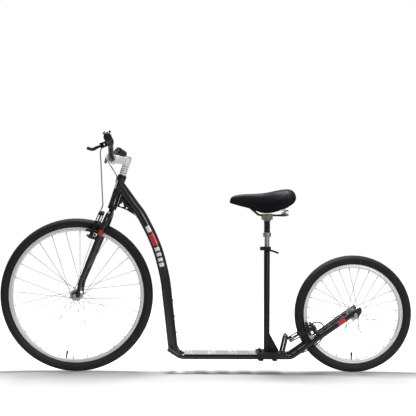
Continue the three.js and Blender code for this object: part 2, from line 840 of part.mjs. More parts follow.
// The perch clamps the bar and carries the lever's pin between two ears
function perch(side) {
  const centre = barAt(side, perchPlace);
  const clampOut = barAt(side, perchPlace + perchWidth / 2);
  const clampIn = barAt(side, perchPlace - perchWidth / 2);
  const forward = at(-Math.cos(leverTilt), 0, -Math.sin(leverTilt));
  const normal = at(-Math.sin(leverTilt), 0, Math.cos(leverTilt));
  const pivot = centre.clone().addScaledVector(forward, leverPivotReach);
  const half = leverThickness / 2;
  const earHalf = half + runningGap + perchWall;
  const pin = rod(
    pivot.clone().addScaledVector(normal, -earHalf),
    pivot.clone().addScaledVector(normal, earHalf), leverPinRadius,
    midSides,
  );
  const bodyCentre = centre.clone().addScaledVector(forward, (leverPivotReach + leverHubRadius) / 2);
  const bodyLength = leverPivotReach + leverHubRadius;
  const bodyGeometry = new THREE.BoxGeometry(bodyLength, perchWidth, 2 * earHalf);
  bodyGeometry.rotateY(-leverTilt);
  bodyGeometry.translate(bodyCentre.x, bodyCentre.y, bodyCentre.z);
  const gapGeometry = new THREE.BoxGeometry(
    3 * leverHubRadius, perchWidth + 2 * runningGap, leverThickness + 2 * runningGap,
  );
  gapGeometry.rotateY(-leverTilt);
  gapGeometry.translate(pivot.x + forward.x * runningGap, pivot.y, pivot.z + forward.z * runningGap);
  const clamp = rod(clampIn, clampOut, barRadius + perchWall);
  const bore = rod(
    barAt(side, perchPlace - perchWidth), barAt(side, perchPlace + perchWidth),
    boreRadius(barRadius, seatGap),
  );
  const barrelFrom = at(centre.x - leverPivotReach, side * (perchPlace - perchWidth / 2 + overrun), centre.z);
  const barrelTo = at(barrelFrom.x, side * (perchPlace - perchWidth / 2 - barrelLength), barrelFrom.z);
  const barrel = rod(barrelFrom.setZ(pivot.z), barrelTo.setZ(pivot.z), barrelRadius, midSides);
  const shell = clamp.add(solid(bodyGeometry)).add(barrel);
  return shell.subtract(solid(gapGeometry)).subtract(bore).add(pin);
}

function leverPlace(side) {
  const centre = barAt(side, perchPlace);
  return {
    x: centre.x - Math.cos(leverTilt) * leverPivotReach,
    y: centre.y,
    z: centre.z - Math.sin(leverTilt) * leverPivotReach,
  };
}

// The lever's centre line from its pin to its tip, as shares of its reach and span
const leverShares = [[0, 0], [-0.42, 0.14], [-0.74, 0.42], [-0.92, 0.8], [-1, 1]];

// The lever in its own frame: x runs back towards the bar, y outwards, z along its pin
function lever(side) {
  const reach = leverReach - leverPivotReach;
  const line = leverShares.map(([inShare, outShare]) => at(reach * inShare, side * leverSpan * outShare, 0));
  const path = new SteppedPath(line);
  const edges = line.map((point, i) => {
    const along = path.getTangentAt(i / (line.length - 1));
    const across = at(-along.y, along.x, 0).multiplyScalar(leverBladeWidth / 2);
    return [point.clone().add(across), point.clone().sub(across)];
  });
  const outline = [...edges.map(([left]) => left), ...edges.map(([, right]) => right).reverse()];
  const shape = new THREE.Shape(outline.map(({ x, y }) => new THREE.Vector2(x, y)));
  const blade = new THREE.ExtrudeGeometry(shape, { depth: leverThickness, bevelEnabled: false });
  blade.translate(0, 0, -leverThickness / 2);
  const eye = rod(at(0, 0, -leverThickness / 2), at(0, 0, leverThickness / 2), leverHubRadius);
  const bore = rod(
    at(0, 0, -leverThickness), at(0, 0, leverThickness),
    boreRadius(leverPinRadius, runningGap, midSides), midSides,
  );
  return join([solid(blade), eye, ball(line[line.length - 1], leverTipRadius)]).subtract(bore);
}

function bell() {
  const centre = barAt(-1, bellPlace);
  const domeZ = centre.z + bellLift;
  const domeX = centre.x - bellForward;
  const clampIn = barAt(-1, bellPlace - bellClampWidth / 2);
  const clampOut = barAt(-1, bellPlace + bellClampWidth / 2);
  const domeAt = at(domeX, centre.y, domeZ);
  const clamp = rod(clampIn, clampOut, barRadius + bellClampWall);
  const bore = rod(
    barAt(-1, bellPlace - bellClampWidth), barAt(-1, bellPlace + bellClampWidth),
    boreRadius(barRadius, seatGap),
  );
  const stalk = rod(
    at(centre.x - barRadius, centre.y, centre.z + bellClampWall),
    at(domeX, centre.y, domeZ + overrun), bellStalkRadius,
    slimSides,
  );
  const post = rod(domeAt, at(domeX, centre.y, domeZ + bellHeight), bellStalkRadius, slimSides);
  const profile = [];
  const arcSteps = 2;
  for (let i = 0; i <= arcSteps; i += 1) {
    const angle = (i / arcSteps) * (Math.PI / 2);
    profile.push([bellRadius * Math.cos(angle), domeZ + bellHeight * Math.sin(angle)]);
  }
  for (let i = arcSteps; i >= 0; i -= 1) {
    const angle = (i / arcSteps) * (Math.PI / 2);
    const [innerRadius, innerHeight] = [bellRadius - bellWall, bellHeight - bellWall];
    const inner = [innerRadius * Math.cos(angle), domeZ + innerHeight * Math.sin(angle)];
    profile.push(inner);
  }
  profile.push(profile[0]);
  profile.forEach((point) => { point[0] = Math.max(point[0], 0); });
  const dome = turned(profile, roundSides).translate([domeX, centre.y, 0]);
  const hinge = hammerHinge();
  const earHalf = at(0, bellStalkRadius, 0);
  const ear = rod(hinge.clone().sub(earHalf), hinge.clone().add(earHalf), bellStalkRadius, midSides);
  const earFoot = at(centre.x, centre.y, centre.z + barRadius + overrun);
  const earArm = rod(earFoot, hinge, bellStalkRadius, slimSides);
  return join([clamp, stalk, post, dome, earArm, ear]).subtract(bore);
}

function hammerHinge() {
  const centre = barAt(-1, bellPlace);
  const hingeX = centre.x - bellForward + hammerSetback + bellStalkRadius;
  return at(hingeX, centre.y, centre.z + bellLift - bellStalkRadius);
}

// The hammer's arm in the hinge's frame
function hammer() {
  const base = bellStalkRadius + runningGap;
  const height = hammerLift - bellLift;
  const arm = rod(at(0, 0, base), at(0, 0, height), hammerArmRadius, slimSides);
  return arm.add(ball(at(0, 0, height), hammerBallRadius));
}

// A brake arm in its pivot's frame: z runs along the arm, x along its post, y across the wheel
function brakeArm(side, wheelX, wheelZ, beadRadius) {
  const half = brakeArmWidth / 2;
  const tip = brakeArmTipWidth / 2;
  const bladePoints = [[-half, 0], [half, 0], [tip, brakeArmLength], [-tip, brakeArmLength]];
  const centre = side * brakePostPlace;
  const blade = plate(bladePoints, brakeArmThickness, centre);
  const hubHalf = brakeHubThickness / 2;
  const hub = rod(at(-hubHalf, centre, 0), at(hubHalf, centre, 0), brakeHubRadius);
  const crown = rod(
    at(0, centre - brakeArmThickness / 2, brakeArmLength),
    at(0, centre + brakeArmThickness / 2, brakeArmLength), tip, midSides,
  );
  const bore = rod(
    at(-brakeArmWidth, centre, 0), at(brakeArmWidth, centre, 0), boreRadius(brakePostRadius, runningGap),
  );
  const across = brakeArmThickness + overrun;
  const slot = block(brakeSlotWidth, across, brakeSlotLength, 0, centre, brakeSlotPlace);
  const [holeFrom, holeTo] = [at(0, centre - across, brakeArmLength), at(0, centre + across, brakeArmLength)];
  const wireHole = rod(holeFrom, holeTo, wireHoleRadius, slimSides);
  const pad = padCentre(wheelX, wheelZ, beadRadius);
  const padSocket = rod(
    at(pad.x, centre - across, pad.z), at(pad.x, centre + across, pad.z), padPostRadius + seatGap, slimSides,
  );
  const socketRing = rod(
    at(pad.x, centre - brakeArmThickness / 2, pad.z),
    at(pad.x, centre + brakeArmThickness / 2, pad.z), brakeHubRadius, midSides,
  );
  const whole = join([blade, hub, crown, socketRing]);
  return [bore, slot, wireHole, padSocket].reduce((left, cut) => left.subtract(cut), whole);
}

function padCentre(wheelX, wheelZ, beadRadius) {
  const track = beadRadius + rimLip - padTrackInset;
  const toPivot = Math.hypot(wheelX, wheelZ);
  return { x: wheelX - (wheelX / toPivot) * track, z: wheelZ - (wheelZ / toPivot) * track };
}

// The pad is a stretch of ring round the wheel's centre, on a post through the arm
function brakePad(side, wheelX, wheelZ, beadRadius) {
  const track = beadRadius + rimLip - padTrackInset;
  const angle = Math.atan2(-wheelZ, -wheelX);
  const sweep = padLength / track / 2;
  const [innerTrack, outerTrack] = [track - padHeight / 2, track + padHeight / 2];
  const outline = [];
  const arcSteps = 4;
  for (let i = 0; i <= arcSteps; i += 1) {
    const turn = angle - sweep + (2 * sweep * i) / arcSteps;
    outline.push([wheelX + outerTrack * Math.cos(turn), wheelZ + outerTrack * Math.sin(turn)]);
  }
  for (let i = arcSteps; i >= 0; i -= 1) {
    const turn = angle - sweep + (2 * sweep * i) / arcSteps;
    outline.push([wheelX + innerTrack * Math.cos(turn), wheelZ + innerTrack * Math.sin(turn)]);
  }
  const inner = rimWidth / 2 + padGap;
  const block = plate(outline, padThickness, side * (inner + padThickness / 2));
  const centre = padCentre(wheelX, wheelZ, beadRadius);
  const armOut = brakePostPlace + brakeArmThickness / 2;
  const post = rod(
    at(centre.x, side * (inner + padThickness / 2), centre.z),
    at(centre.x, side * (armOut + overrun), centre.z),
    padPostRadius, slimSides,
  );
  const nutFrom = armOut + seatGap;
  const nut = rod(
    at(centre.x, side * nutFrom, centre.z), at(centre.x, side * (nutFrom + locknutThickness), centre.z),
    padPostRadius * 2, nutSides,
  );
  return join([block, post, nut]);
}

// The bent pipe beside the left arm, the wire through both arms and the ribbed boot between them
function noodle(route) {
  const path = new THREE.CatmullRomCurve3(route.map(([x, y, z]) => at(x, y, z)));
  const wireFrom = at(0, -brakePostPlace - brakeArmThickness / 2 - overrun, brakeArmLength);
  const wireTo = at(0, brakePostPlace + brakeArmThickness / 2 + wireMargin, brakeArmLength);
  const ribs = [];
  for (let i = 0; i < bootRibs; i += 1) {
    const low = -bootLength / 2 + (i * bootLength) / bootRibs;
    ribs.push([wireRadius + overrun, low], [bootRadius, low + bootLength / bootRibs / 2]);
  }
  const end = bootLength / 2;
  const profile = [[0, -end], ...ribs, [wireRadius + overrun, end], [0, end]];
  const rubberBoot = turned(profile, slimSides, false).translate([0, 0, brakeArmLength]);
  const bentPipe = tube(path, noodleRadius, noodleSteps, slimSides);
  return join([bentPipe, rod(wireFrom, wireTo, wireRadius, slimSides), rubberBoot]);
}

function addBrake(group, prefix, wheelX, wheelZ, beadRadius) {
  for (const [name, side] of sides) {
    piece(group, `${prefix}_brake_arm_${name}`, brakeArm(side, wheelX, wheelZ, beadRadius), colours.plastic);
    piece(group, `${prefix}_brake_pad_${name}`, brakePad(side, wheelX, wheelZ, beadRadius), colours.rubber);
  }
}

// The main tube's line from the head tube's axis down to the cross tube, as shares of the way across and down
const mainTubeShares = [
  [0, 0], [0.14, 0.062], [0.281, 0.126], [0.385, 0.171], [0.506, 0.243], [0.597, 0.303], [0.71, 0.394],
  [0.789, 0.485], [0.85, 0.576], [0.895, 0.697], [0.937, 0.818], [0.979, 0.939], [1, 1],
];

function mainTubePath() {
  const topX = headX + mainTubeJoin * Math.sin(headTilt);
  const topZ = headZ + mainTubeJoin * Math.cos(headTilt);
  const points = mainTubeShares.map(([across, down]) => at(
    topX + (crossTubeX - topX) * across, 0, topZ + (crossTubeHeight - topZ) * down,
  ));
  return new THREE.CatmullRomCurve3(points, false, 'centripetal');
}

const mainTubeSteps = 13;

function headSpace() {
  const foot = at(headX, 0, headZ).addScaledVector(at(Math.sin(headTilt), 0, Math.cos(headTilt)), -cupHeight);
  const top = at(headX, 0, headZ)
    .addScaledVector(at(Math.sin(headTilt), 0, Math.cos(headTilt)), upperCupFoot + 2 * cupHeight);
  return rod(foot, top, boreRadius(headTubeRadius, seatGap, smallRingSegments), smallRingSegments);
}

// The space ahead of the head tube's axis, where the main tube has nothing left
function aheadOfHead() {
  const size = 4 * mainTubeRadius;
  const ahead = block(size, size, size, -size / 2, 0, mainTubeJoin);
  return ahead.rotate([0, headTiltDegrees, 0]).translate([headX, 0, headZ]);
}

function mainTube() {
  const path = mainTubePath();
  const shell = tube(path, mainTubeRadius, mainTubeSteps, tubeSides, mainTubeRadius - mainTubeWall);
  const crossSpace = rod(
    at(crossTubeX, -railHalfTrack, crossTubeHeight), at(crossTubeX, railHalfTrack, crossTubeHeight),
    crossTubeRadius + seatGap, smallRingSegments,
  );
  const bossShares = [0.72, 0.81, 0.9];
  const bosses = bossShares.map((share) => {
    const point = path.getPointAt(share);
    const tangent = path.getTangentAt(share);
    const back = at(-tangent.z, 0, tangent.x);
    const from = point.clone().addScaledVector(back, mainTubeRadius - mainTubeWall);
    const to = point.clone().addScaledVector(back, mainTubeRadius + bossHeight);
    return rod(from, to, bossRadius, slimSides);
  });
  return join([shell, ...bosses]).subtract(headSpace()).subtract(aheadOfHead()).subtract(crossSpace);
}

const gussetShares = [
  [0.4, 0.9], [0.02, 0.06], [0.33, -0.01], [0.62, -0.125], [0.98, -0.35], [1.14, -0.56], [1.34, -0.87],
  [1.5, -0.87], [0.93, 0.18],
];
const gussetHoleShares = [
  [[0.3, 0.075], [0.33, 0.14], [0.4, 0.155], [0.435, 0.24], [0.465, 0.125], [0.5, 0.035], [0.4, 0.015]],
  [[0.575, -0.03], [0.59, 0.0], [0.63, 0.0], [0.645, -0.03], [0.63, -0.06], [0.59, -0.06]],
];

function headGusset() {
  const scaled = (shares) => shares.map(([x, z]) => [headX + gussetSize * x, headZ + gussetSize * z]);
  const sheet = plate(scaled(gussetShares), gussetThickness);
  const holes = join(gussetHoleShares.map((shares) => plate(scaled(shares), gussetThickness + overrun)));
  const tubeSpace = tube(mainTubePath(), mainTubeRadius + seatGap, mainTubeSteps, tubeSides);
  return sheet.subtract(holes).subtract(headSpace()).subtract(tubeSpace);
}

function railPath(side) {
  const tipY = side * (rearHubSpacing / 2 + dropoutThickness / 2);
  const corners = [
    at(railFrontX, side * railHalfTrack, railHeight + railFrontRise),
    at(railFrontX + railKinkLength, side * railHalfTrack, railHeight),
    at(railRearX, side * railHalfTrack, railHeight),
    at(railRearX + stayRun / 3, side * railHalfTrack, railHeight + stayRise / 3),
    at(railRearX + stayRun, tipY, railHeight + stayRise),
  ];
  return bentPath(corners, railBend / 2);
}

const dropoutShares = [
  [-0.6, -0.2], [-0.3, -0.24], [0.32, -0.24], [0.5, 0.05], [0.68, 0.5],
  [0.5, 0.82], [0.1, 0.62], [-0.7, 0.05],
];

// A deck rail runs from the main tube's foot under the deck and up to its dropout, with a brake post on it
function rail(side) {
  const path = railPath(side);
  const inner = railRadius - railWall;
  const shell = bentTube(path, railRadius, inner);
  const plateY = side * (rearHubSpacing / 2 + dropoutThickness / 2);
  const place = ([x, z]) => [rearAxleX + dropoutSize * x, rearTyreRadius + dropoutSize * z];
  const outline = dropoutShares.map(place);
  const dropout = plate(outline, dropoutThickness, plateY);
  const slot = axleRadius + seatGap;
  const wide = dropoutThickness + overrun;
  const slotFrom = at(rearAxleX, plateY - wide, rearTyreRadius);
  const slotCut = rod(slotFrom, at(rearAxleX, plateY + wide, rearTyreRadius), slot)
    .add(block(2 * slot, 2 * wide, dropoutSize, rearAxleX, plateY, rearTyreRadius - dropoutSize / 2));
  const faceCut = block(
    dropoutSize * 3, railRadius * 2, dropoutSize * 3, rearAxleX,
    side * (rearHubSpacing / 2 - railRadius), rearTyreRadius,
  );
  const nutCut = block(
    dropoutSize, railRadius * 2, dropoutSize * 2, rearAxleX,
    side * (rearHubSpacing / 2 + dropoutThickness + railRadius), rearTyreRadius,
  );
  const pivot = rearPivot();
  const away = at(Math.cos(pivot.turn), 0, -Math.sin(pivot.turn));
  const pivotAt = at(pivot.x, side * brakePostPlace, pivot.z);
  const foot = pivotAt.clone().addScaledVector(away, -rearPivotRise);
  const post = rod(foot, pivotAt.clone().addScaledVector(away, brakePostOverhang), brakePostRadius, midSides);
  const collarTo = pivotAt.clone().addScaledVector(away, -brakeHubThickness / 2 - seatGap);
  const collar = rod(foot, collarTo, brakePostRadius + overrun, midSides);
  const bored = bentTube(path, inner);
  const stand = join([post, collar]).subtract(bored);
  return join([shell, stand]).subtract(faceCut).subtract(nutCut).add(dropout).subtract(slotCut);
}

function crossTube() {
  const half = railHalfTrack;
  const [from, to] = [at(crossTubeX, -half, crossTubeHeight), at(crossTubeX, half, crossTubeHeight)];
  const outer = rod(from, to, crossTubeRadius, smallRingSegments);
  const bore = rod(
    at(crossTubeX, -half - overrun, crossTubeHeight), at(crossTubeX, half + overrun, crossTubeHeight),
    crossTubeRadius - crossTubeWall, smallRingSegments,
  );
  const railSpaces = sides.map(([, side]) => bentTube(railPath(side), railRadius + seatGap));
  return outer.subtract(bore).subtract(railSpaces[0]).subtract(railSpaces[1]);
}

function deckPlate() {
  const length = deckRearX - deckFrontX;
  const z = deckBottom + deckThickness / 2;
  let sheet = block(length, 2 * deckHalfWidth, deckThickness, deckFrontX + length / 2, 0, z);
  for (let i = 0; i < deckSlotGroups; i += 1) {
    for (const [, side] of sides) {
      for (const [, row] of sides) {
        const x = deckSlotFirstX + i * deckSlotPitch + side * deckSlotSpread;
        const y = row * deckSlotRowOffset;
        const cut = block(deckSlotLength, deckSlotWidth, deckThickness + overrun, x, y, z);
        sheet = sheet.subtract(cut);
      }
    }
  }
  const boltSpaces = clampBolts(clampBoltRadius + seatGap);
  return sheet.subtract(boltSpaces);
}

function heelHoop() {
  const top = railHeight + hoopHeight + railRadius;
  const corners = [
    at(hoopFootX, -railHalfTrack, railHeight), at(hoopFootX + hoopLean, -railHalfTrack, top),
    at(hoopFootX + hoopLean, railHalfTrack, top), at(hoopFootX, railHalfTrack, railHeight),
  ];
  const hoop = bentTube(bentPath(corners, hoopBend), hoopTubeRadius);
  const spaces = sides.map(([, side]) => bentTube(railPath(side), railRadius + seatGap));
  return hoop.subtract(spaces[0]).subtract(spaces[1]);
}

function clampBolts(radius) {
  const low = railHeight - railRadius - clampBarThickness;
  const high = footPlateTop + clampNutThickness + overrun;
  const bolts = [];
  for (const x of [clampBarFrontX, clampBarRearX]) {
    for (const [, side] of sides) {
      const y = side * clampBoltPlace;
      bolts.push(rod(at(x, y, low), at(x, y, high), radius, slimSides));
    }
  }
  return join(bolts);
}

// A channel over the deck: a flat top with a flange down each side, bolted sideways through the flanges
function footPlate() {
  const length = deckRearX - footPlateFrontX;
  const centre = footPlateFrontX + length / 2;
  const sheet = block(
    length, 2 * footPlateHalfWidth, footPlateThickness, centre, 0, footPlateBottom + footPlateThickness / 2,
  );
  const parts = [sheet];
  const flangeHeight = footPlateTop - footFlangeFoot;
  for (const [, side] of sides) {
    const flangeY = side * (footPlateHalfWidth - footFlangeThickness / 2);
    const flangeZ = footFlangeFoot + flangeHeight / 2;
    parts.push(block(length, footFlangeThickness, flangeHeight, centre, flangeY, flangeZ));
    for (const x of [clampBarFrontX, clampBarRearX]) {
      const z = footPlateTop - footBoltDrop;
      const outer = side * (footPlateHalfWidth + footBoltProud);
      parts.push(rod(at(x, flangeY, z), at(x, outer, z), footBoltRadius, midSides));
    }
  }
  return join(parts).subtract(clampBolts(clampBoltRadius + seatGap));
}

// A flat bar under both rails, its two bolts up through the foot plate and their nuts
function seatClamp(x) {
  const top = railHeight - railRadius - seatGap;
  const strap = block(clampBarWidth, 2 * clampBarReach, clampBarThickness, x, 0, top - clampBarThickness / 2);
  const parts = [strap];
  const nutFoot = footPlateTop + seatGap;
  for (const [, side] of sides) {
    const y = side * clampBoltPlace;
    const boltTop = nutFoot + clampNutThickness + overrun;
    parts.push(rod(at(x, y, top - overrun), at(x, y, boltTop), clampBoltRadius, slimSides));
    parts.push(rod(at(x, y, nutFoot), at(x, y, nutFoot + clampNutThickness), clampNutRadius, 6));
  }
  return join(parts);
}

function seatTube() {
  const foot = footPlateTop + seatGap;
  const bore = seatTubeRadius - seatTubeWall;
  const shell = pipe(seatTubeRadius, bore, foot, seatTubeTop).translate([seatX, 0, 0]);
  const inside = seatX + seatTubeRadius - seatTubeWall / 2;
  const edge = seatX + seatTubeRadius;
  const web = plate([
    [inside, foot], [edge + seatGussetRun, foot], [edge, foot + seatGussetRise],
    [inside, foot + seatGussetRise],
  ], seatGussetThickness);
  return shell.add(web);
}

function seatCollar() {
  const low = seatTubeTop - collarHeight;
  const inner = seatTubeRadius + seatGap;
  const ringPart = pipe(inner + collarWall, inner, low, seatTubeTop);
  const lugX = -inner - collarWall / 2 - collarLugReach / 2;
  const lugWidth = 2 * collarLugWidth + collarSlit;
  const lug = block(collarLugReach + collarWall, lugWidth, collarHeight, lugX, 0, low + collarHeight / 2);
  const slit = block(
    2 * collarLugReach + 2 * collarWall, collarSlit, collarHeight + overrun, lugX, 0, low + collarHeight / 2,
  );
  const core = rod(at(0, 0, low - overrun), at(0, 0, seatTubeTop + overrun), inner, smallRingSegments);
  const pinX = skewerOffset();
  const reach = lugWidth / 2 + camLength / 2;
  const middle = low + collarHeight / 2;
  const skewerFoot = at(pinX, -lugWidth / 2 + overrun, middle);
  const skewer = rod(skewerFoot, at(pinX, reach, middle), skewerRadius, slimSides);
  const nutFoot = at(pinX, lugWidth / 2 - overrun, middle);
  const nut = rod(nutFoot, at(pinX, reach + overrun, middle), skewerNutRadius);
  return join([ringPart, lug]).subtract(slit).subtract(core).add(skewer).add(nut).translate([seatX, 0, 0]);
}

function skewerOffset() {
  return -seatTubeRadius - seatGap - collarWall - collarLugReach / 2;
}

// The quick-release lever in its cam pin's frame: it lies back along the seat tube's left side
function collarLever() {
  const out = -2 * collarLeverRadius;
  const start = at(0, out / 4, 0);
  const elbow = at(collarLeverLength / 2, out, -collarLeverDrop / 4);
  const end = at(collarLeverLength, out, -collarLeverDrop);
  const path = new THREE.QuadraticBezierCurve3(start, elbow, end);
  const cam = rod(at(0, 0, -camHalfHeight), at(0, 0, camHalfHeight), camRadius);
  const knob = ball(end, collarKnobRadius);
  const arm = tube(path, collarLeverRadius, collarLeverSteps, slimSides).add(knob);
  return cam.add(arm);
}

function seatPostOuter() {
  const headTop = postTop + postHeadHeight;
  const bore = shaftRadius + runningGap;
  const profile = [
    [bore, postFoot], [postRadius, postFoot], [postRadius, postTop], [postHeadRadius, postTop + overrun],
    [postHeadRadius, headTop], [bore, headTop], [bore, postFoot],
  ];
  return turned(profile, smallRingSegments).translate([seatX, 0, 0]);
}

const clampRollZ = bootTop + cradleHeight + clampRollRadius / 2;
const saddleRailZ = clampRollZ + clampRailRise;
const earY = cradleWidth / 2 + runningGap + clampEarThickness / 2;

// The sliding shaft ends in a cradle that holds the saddle clamp's round core
function seatPostShaft() {
  const foot = bootTop + seatGap;
  const shaft = rod(at(0, 0, shaftFoot), at(0, 0, foot + overrun), shaftRadius, smallRingSegments);
  const cradle = block(cradleLength, cradleWidth, cradleHeight, 0, 0, foot + cradleHeight / 2);
  const rollSpace = rod(
    at(0, -cradleWidth, clampRollZ), at(0, cradleWidth, clampRollZ),
    clampRollRadius + runningGap, smallRingSegments,
  );
  return join([shaft, cradle]).subtract(rollSpace).translate([seatX, 0, 0]);
}

function seatPostBoot() {
  const low = postTop + postHeadHeight + seatGap;
  const height = bootTop - low;
  const bore = boreRadius(shaftRadius, runningGap, midSides);
  const profile = [[bore, low], [boot.valleyRadius, low]];
  for (let i = 0; i < boot.ribs; i += 1) {
    profile.push([boot.radius, low + ((i + 0.5) * height) / boot.ribs]);
    profile.push([boot.valleyRadius, low + ((i + 1) * height) / boot.ribs]);
  }
  profile.push([bore, bootTop], [bore, low]);
  return turned(profile, midSides).translate([seatX, 0, 0]);
}

// The clamp's round core and the two ears that grip the saddle rails
function saddleClamp() {
  const coreEnd = earY - clampEarThickness / 4;
  const [coreFrom, coreTo] = [at(0, -coreEnd, clampRollZ), at(0, coreEnd, clampRollZ)];
  const core = rod(coreFrom, coreTo, clampRollRadius, smallRingSegments);
  const parts = [core];
  const railHole = boreRadius(saddleRailRadius, seatGap, slimSides);
  const holes = [];
  for (const [, side] of sides) {
    const earZ = clampRollZ + clampRailRise / 3;
    const ear = block(clampEarLength, clampEarThickness, clampEarHeight, 0, side * earY, earZ);
    const [holeFrom, holeTo] = [-clampEarLength, clampEarLength].map((x) => at(x, side * earY, saddleRailZ));
    holes.push(rod(holeFrom, holeTo, railHole, midSides));
    parts.push(ear);
    const nutFrom = side * (earY + clampEarThickness / 2);
    const nutTo = side * (earY + clampEarThickness / 2 + locknutThickness + saddleRailRadius);
    parts.push(rod(at(0, nutFrom - side * overrun, clampRollZ), at(0, nutTo, clampRollZ), locknutRadius, 6));
  }
  return join(parts).subtract(join(holes)).translate([seatX, 0, 0]);
}

// The saddle's outline along its length: [along, half width, top, skirt] as shares of its length, half width
// and depth
const saddleShares = [
  [0, 0.1, 0.5, 0.58], [0.02, 0.17, 0.36, 0.6], [0.07, 0.21, 0.28, 0.64], [0.16, 0.24, 0.225, 0.7],
  [0.28, 0.27, 0.205, 0.76], [0.4, 0.34, 0.19, 0.82], [0.5, 0.48, 0.17, 0.88], [0.6, 0.69, 0.12, 0.88],
  [0.7, 0.88, 0.06, 0.86], [0.8, 0.98, 0.015, 0.8], [0.88, 1, 0, 0.72], [0.94, 0.95, 0.04, 0.64],
  [0.98, 0.8, 0.14, 0.54], [1, 0.6, 0.26, 0.44],
];
const crownShares = [
  [0, 0], [0.3, 0.02], [0.55, 0.07], [0.78, 0.2], [0.92, 0.42], [1, 0.7], [0.97, 1],
];
// The cushion's tucked edge and hollow underside, as shares of a station's half width and drop
const tuckShares = [[0.8, 0.94], [0.66, 0.55]];
const baseDropShare = 0.56;
const baseWidthShare = 0.6;

function saddleStation([along, wide, top, skirt]) {
  const x = saddleNoseX + saddleLength * along;
  const topZ = saddleTop - saddleDepth * top;
  return { x, half: saddleHalfWidth * wide, topZ, drop: saddleDepth * (skirt - top) };
}

// Rings of points joined into one closed skin, the same number of points in each ring
function loft(rings) {
  const count = rings[0].length;
  const positions = [];
  const index = [];
  for (const ring of rings) {
    for (const point of ring) {
      positions.push(point.x, point.y, point.z);
    }
  }
  for (let i = 0; i < rings.length - 1; i += 1) {
    for (let j = 0; j < count; j += 1) {
      const a = i * count + j;
      const b = i * count + ((j + 1) % count);
      index.push(a, b, b + count, a, b + count, a + count);
    }
  }
  for (const [ring, flip] of [[0, true], [rings.length - 1, false]]) {
    const middle = positions.length / 3;
    const centre = rings[ring].reduce((sum, point) => sum.add(point), at(0, 0, 0)).divideScalar(count);
    positions.push(centre.x, centre.y, centre.z);
    for (let j = 0; j < count; j += 1) {
      const a = ring * count + j;
      const b = ring * count + ((j + 1) % count);
      index.push(...(flip ? [middle, b, a] : [middle, a, b]));
    }
  }
  const geometry = new THREE.BufferGeometry();
  geometry.setAttribute('position', new THREE.BufferAttribute(new Float32Array(positions), 3));
  geometry.setIndex(index);
  return solid(geometry);
}

function saddleCover() {
  const rings = saddleShares.map((shares) => {
    const { x, half, topZ, drop } = saddleStation(shares);
    const upper = crownShares.map(([out, down]) => at(x, half * out, topZ - drop * down));
    const under = tuckShares.map(([out, down]) => at(x, half * out, topZ - drop * down));
    const rightSide = [...upper, ...under];
    const leftSide = rightSide.slice(1).reverse().map((point) => at(point.x, -point.y, point.z));
    return [...rightSide, ...leftSide];
  });
  return loft(rings);
}

// The hard base fills the cushion's underside and carries the rails' front and the springs
function saddleBase() {
  const rings = saddleShares.slice(2, -2).map((shares) => {
    const { x, half, topZ, drop } = saddleStation(shares);
    const high = topZ - drop * baseDropShare - seatGap;
    const low = high - saddleBaseThickness;
    const wide = half * baseWidthShare;
    return [at(x, -wide, low), at(x, wide, low), at(x, wide, high), at(x, -wide, high)];
  });
  return loft(rings);
}

function baseHeight(x) {
  const share = (x - saddleNoseX) / saddleLength;
  const next = saddleShares.findIndex(([along]) => along >= share);
  const [a, b] = [saddleStation(saddleShares[next - 1]), saddleStation(saddleShares[next])];
  const low = ({ topZ, drop }) => topZ - drop * baseDropShare - seatGap - saddleBaseThickness;
  const between = (x - a.x) / (b.x - a.x);
  return low(a) + (low(b) - low(a)) * between;
}

const springBarTop = saddleRailZ + springBarThickness / 2;

// Two wire rails from the base's nose, through the clamp and out to the bar under the springs
function saddleRails() {
  const frontZ = baseHeight(saddleRailFrontX) - saddleRailRadius - seatGap - overrun;
  const parts = [];
  for (const [, side] of sides) {
    const corners = [
      at(saddleRailFrontX, side * saddleRailFrontPlace, frontZ),
      at(seatX - clampEarLength / 2 - saddleRailBend, side * earY, saddleRailZ),
      at(saddleRailRearX, side * earY, saddleRailZ),
      at(springX, side * springPlace, saddleRailZ),
    ];
    const path = bentPath(corners, saddleRailBend);
    parts.push(tube(path, saddleRailRadius, path.points.length - 1, slimSides));
  }
  const nose = rod(
    at(saddleRailFrontX, -saddleRailFrontPlace - overrun, frontZ),
    at(saddleRailFrontX, saddleRailFrontPlace + overrun, frontZ), saddleRailRadius + overrun, midSides,
  );
  const barLength = 2 * (springPlace + springRadius + overrun);
  const springBar = block(springBarWidth, barLength, springBarThickness, springX, 0, saddleRailZ);
  const seats = sides.map(([, side]) => rod(
    at(springX, side * springPlace, saddleRailZ - springBarThickness / 2),
    at(springX, side * springPlace, springBarTop),
    springRadius + springWireRadius, midSides,
  ));
  const clearTop = block(
    springRadius * 3, barLength + overrun, springRadius, springX, 0, springBarTop + springRadius / 2,
  );
  return join([...parts, nose, springBar, ...seats]).subtract(clearTop);
}

// A coil spring as one unbroken tube between the bar and the base, its ends square to them
function saddleSpring(side) {
  const low = springBarTop + seatGap;
  const high = baseHeight(springX + springRadius - springWireRadius) - seatGap;
  const lead = 2 * springWireRadius;
  const points = [at(springRadius, 0, low)];
  const steps = springCurls * stepsPerCurl;
  for (let i = 0; i <= steps; i += 1) {
    const angle = (i / stepsPerCurl) * 2 * Math.PI;
    const z = low + lead + (high - low - 2 * lead) * (i / steps);
    points.push(at(springRadius * Math.cos(angle), springRadius * Math.sin(angle), z));
  }
  points.push(at(springRadius, 0, high));
  const path = new SteppedPath(points);
  const gap = leastGap(points, stepsPerCurl / 2, springWireRadius);
  const coil = tube(path, springWireRadius, points.length - 1, springSides);
  return { shape: coil.translate([springX, side * springPlace, 0]), gap };
}

